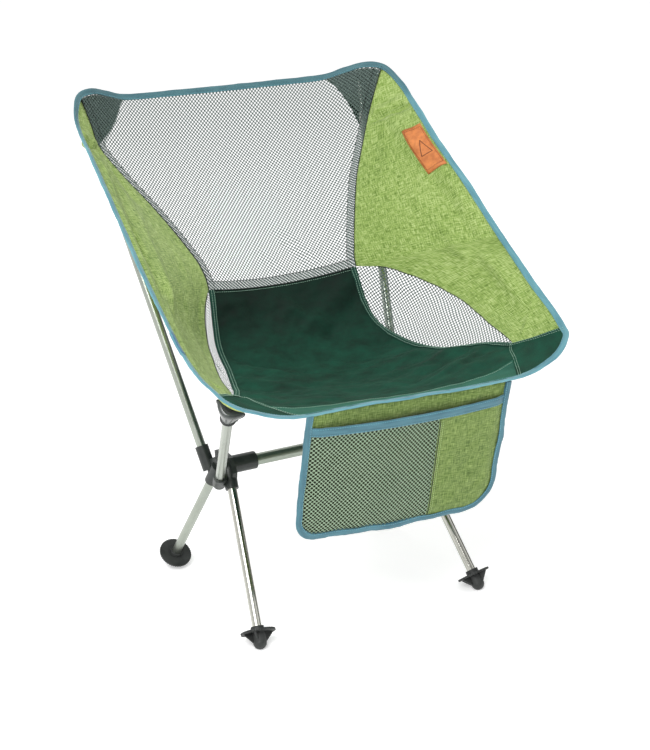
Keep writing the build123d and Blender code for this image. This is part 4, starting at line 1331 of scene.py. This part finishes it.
# the front cloth is in the darker copy of the heather: painted shade
pocket_sheet(
    "organiser_front_cloth", mouth_middle, lambda y: divider(y) - 0.001, right_edge, 36, 7.7, "pocket_shaded_heather",
    "heather_cloth", "pocket_front_cloth",
)

# tape over the pocket's mouth
x = np.linspace(-POCKET_HALF + inset, POCKET_HALF - inset, 90)
sagged = MOUTH_SAG * (1 - (x / POCKET_HALF) ** 2)
band_line = pocket_point(x, mouth_middle - sagged, pocket_bulge(x, mouth_middle))
up = pocket_point(0, 1, 0) - pocket_point(0, 0, 0)
half_band = BAND / 2
band_profile = np.array([
    (-half_band, 0.0006), (-half_band + 0.0006, 0.0010), (half_band - 0.0010, 0.0011), (half_band - 0.0002, 0.0007),
    (half_band, 0), (half_band - 0.0002, -0.0007), (half_band - 0.0010, -0.0011), (-half_band + 0.0006, -0.0010),
    (-half_band, -0.0006), (-half_band + 0.0004, -0.0002), (half_band - 0.0014, -0.0002),
    (half_band - 0.0014, 0.0002), (-half_band + 0.0004, 0.0002),
])
ups = np.repeat(up[None], len(x), axis=0)
band_sections = puckered(lengths(band_line), band_profile, 2.6, 0.5)
mouth_band = sweep("organiser_mouth_tape", band_line, ups, band_sections, [paint["pocket_shaded_tape"]])
finish_piece(mouth_band, POCKET_BODY, ["pocket_mouth_band"])
forward = pocket_point(0, 0, 1) - pocket_point(0, 0, 0)
forwards = np.repeat(forward[None], len(x), axis=0)
mouth_lines = []
for offset in (-half_band + 0.0016, half_band - 0.0016):
    mouth_lines.append((band_line + up * offset + forward * 0.0012, forwards))

# binding down both sides and round the bottom
angle = np.linspace(0, math.pi / 2, 16)
centre_left = (-POCKET_HALF + CORNER_LEFT, POCKET_LOW + CORNER_LEFT)
centre_right = (POCKET_HALF - CORNER_RIGHT, POCKET_LOW + CORNER_RIGHT)
shift = TAPE_WIDE * 0.32
loop = [(-POCKET_HALF + shift, y) for y in np.linspace(POCKET_TOP, centre_left[1] + 0.004, 40)]
loop += [
    (centre_left[0] - (CORNER_LEFT - shift) * math.cos(a), centre_left[1] - (CORNER_LEFT - shift) * math.sin(a))
    for a in angle
]
loop += [(x_here, POCKET_LOW + shift) for x_here in np.linspace(centre_left[0] + 0.004, centre_right[0] - 0.004, 60)]
loop += [
    (centre_right[0] + (CORNER_RIGHT - shift) * math.sin(a), centre_right[1] - (CORNER_RIGHT - shift) * math.cos(a))
    for a in angle
]
loop += [(POCKET_HALF - shift, y) for y in np.linspace(centre_right[1] + 0.004, POCKET_TOP, 40)]
loop = evenly(np.array(loop), 260)
loop_along = lengths(loop)
wander = wave_along(loop_along, 22, (5.5, 0.2))
flat_tangent = np.gradient(loop, axis=0)
flat_tangent /= np.linalg.norm(flat_tangent, axis=1, keepdims=True)
flat_out = np.stack([flat_tangent[:, 1], -flat_tangent[:, 0]], axis=1)
fade_ends = smooth(np.minimum(loop_along, loop_along[-1] - loop_along) / 0.03)
loop = loop + flat_out * (wander * 0.0012 * fade_ends)[:, None]
height = 0.0012 + wander[::-1] * 0.0012 * fade_ends
loop_line = pocket_point(loop[:, 0], loop[:, 1], height)
loop_out = pocket_point(loop[:, 0] + flat_out[:, 0], loop[:, 1] + flat_out[:, 1], height) - loop_line
POCKET_TAPE = TAPE_PROFILE * [1.0, 1.15]
pocket_binding = sweep(
    "organiser_binding", loop_line, loop_out, puckered(loop_along, POCKET_TAPE, 4.1, 1.3), [paint["pocket_shaded_tape"]]
)
finish_piece(pocket_binding, POCKET_BODY, ["pocket_binding"])
for sign in (1, -1):
    points = loop_line - loop_out * STITCH_INSET + forward * sign * 0.00178
    mouth_lines.append((points, sign * np.repeat(forward[None], len(points), axis=0)))
add_stitches("organiser_tape_stitches", mouth_lines, "blue_thread", "binding_tape", POCKET_BODY, radius=TAPE_THREAD)
y = np.linspace(MOUTH - BAND - 0.003, POCKET_LOW + 0.008, 60)
forwards = np.repeat(forward[None], len(y), axis=0)


def beside_divider(offset, lift):
    """A line on the front, a little to the right of the divider."""
    x_here = divider(y) + offset
    return pocket_point(x_here, y, pocket_bulge(x_here, y) + lift)


divider_lines = [(beside_divider(offset, 0.0010), forwards) for offset in (0.0012, 0.0040)]
add_stitches(
    "organiser_divider_stitches", divider_lines, "green_thread", "heather_cloth", POCKET_BODY, radius=FINE_THREAD
)
divider_line = beside_divider(0, 0.0006)
add_ridge("organiser_divider", divider_line, forwards, 0.0006, "dark_thread", POCKET_BODY)
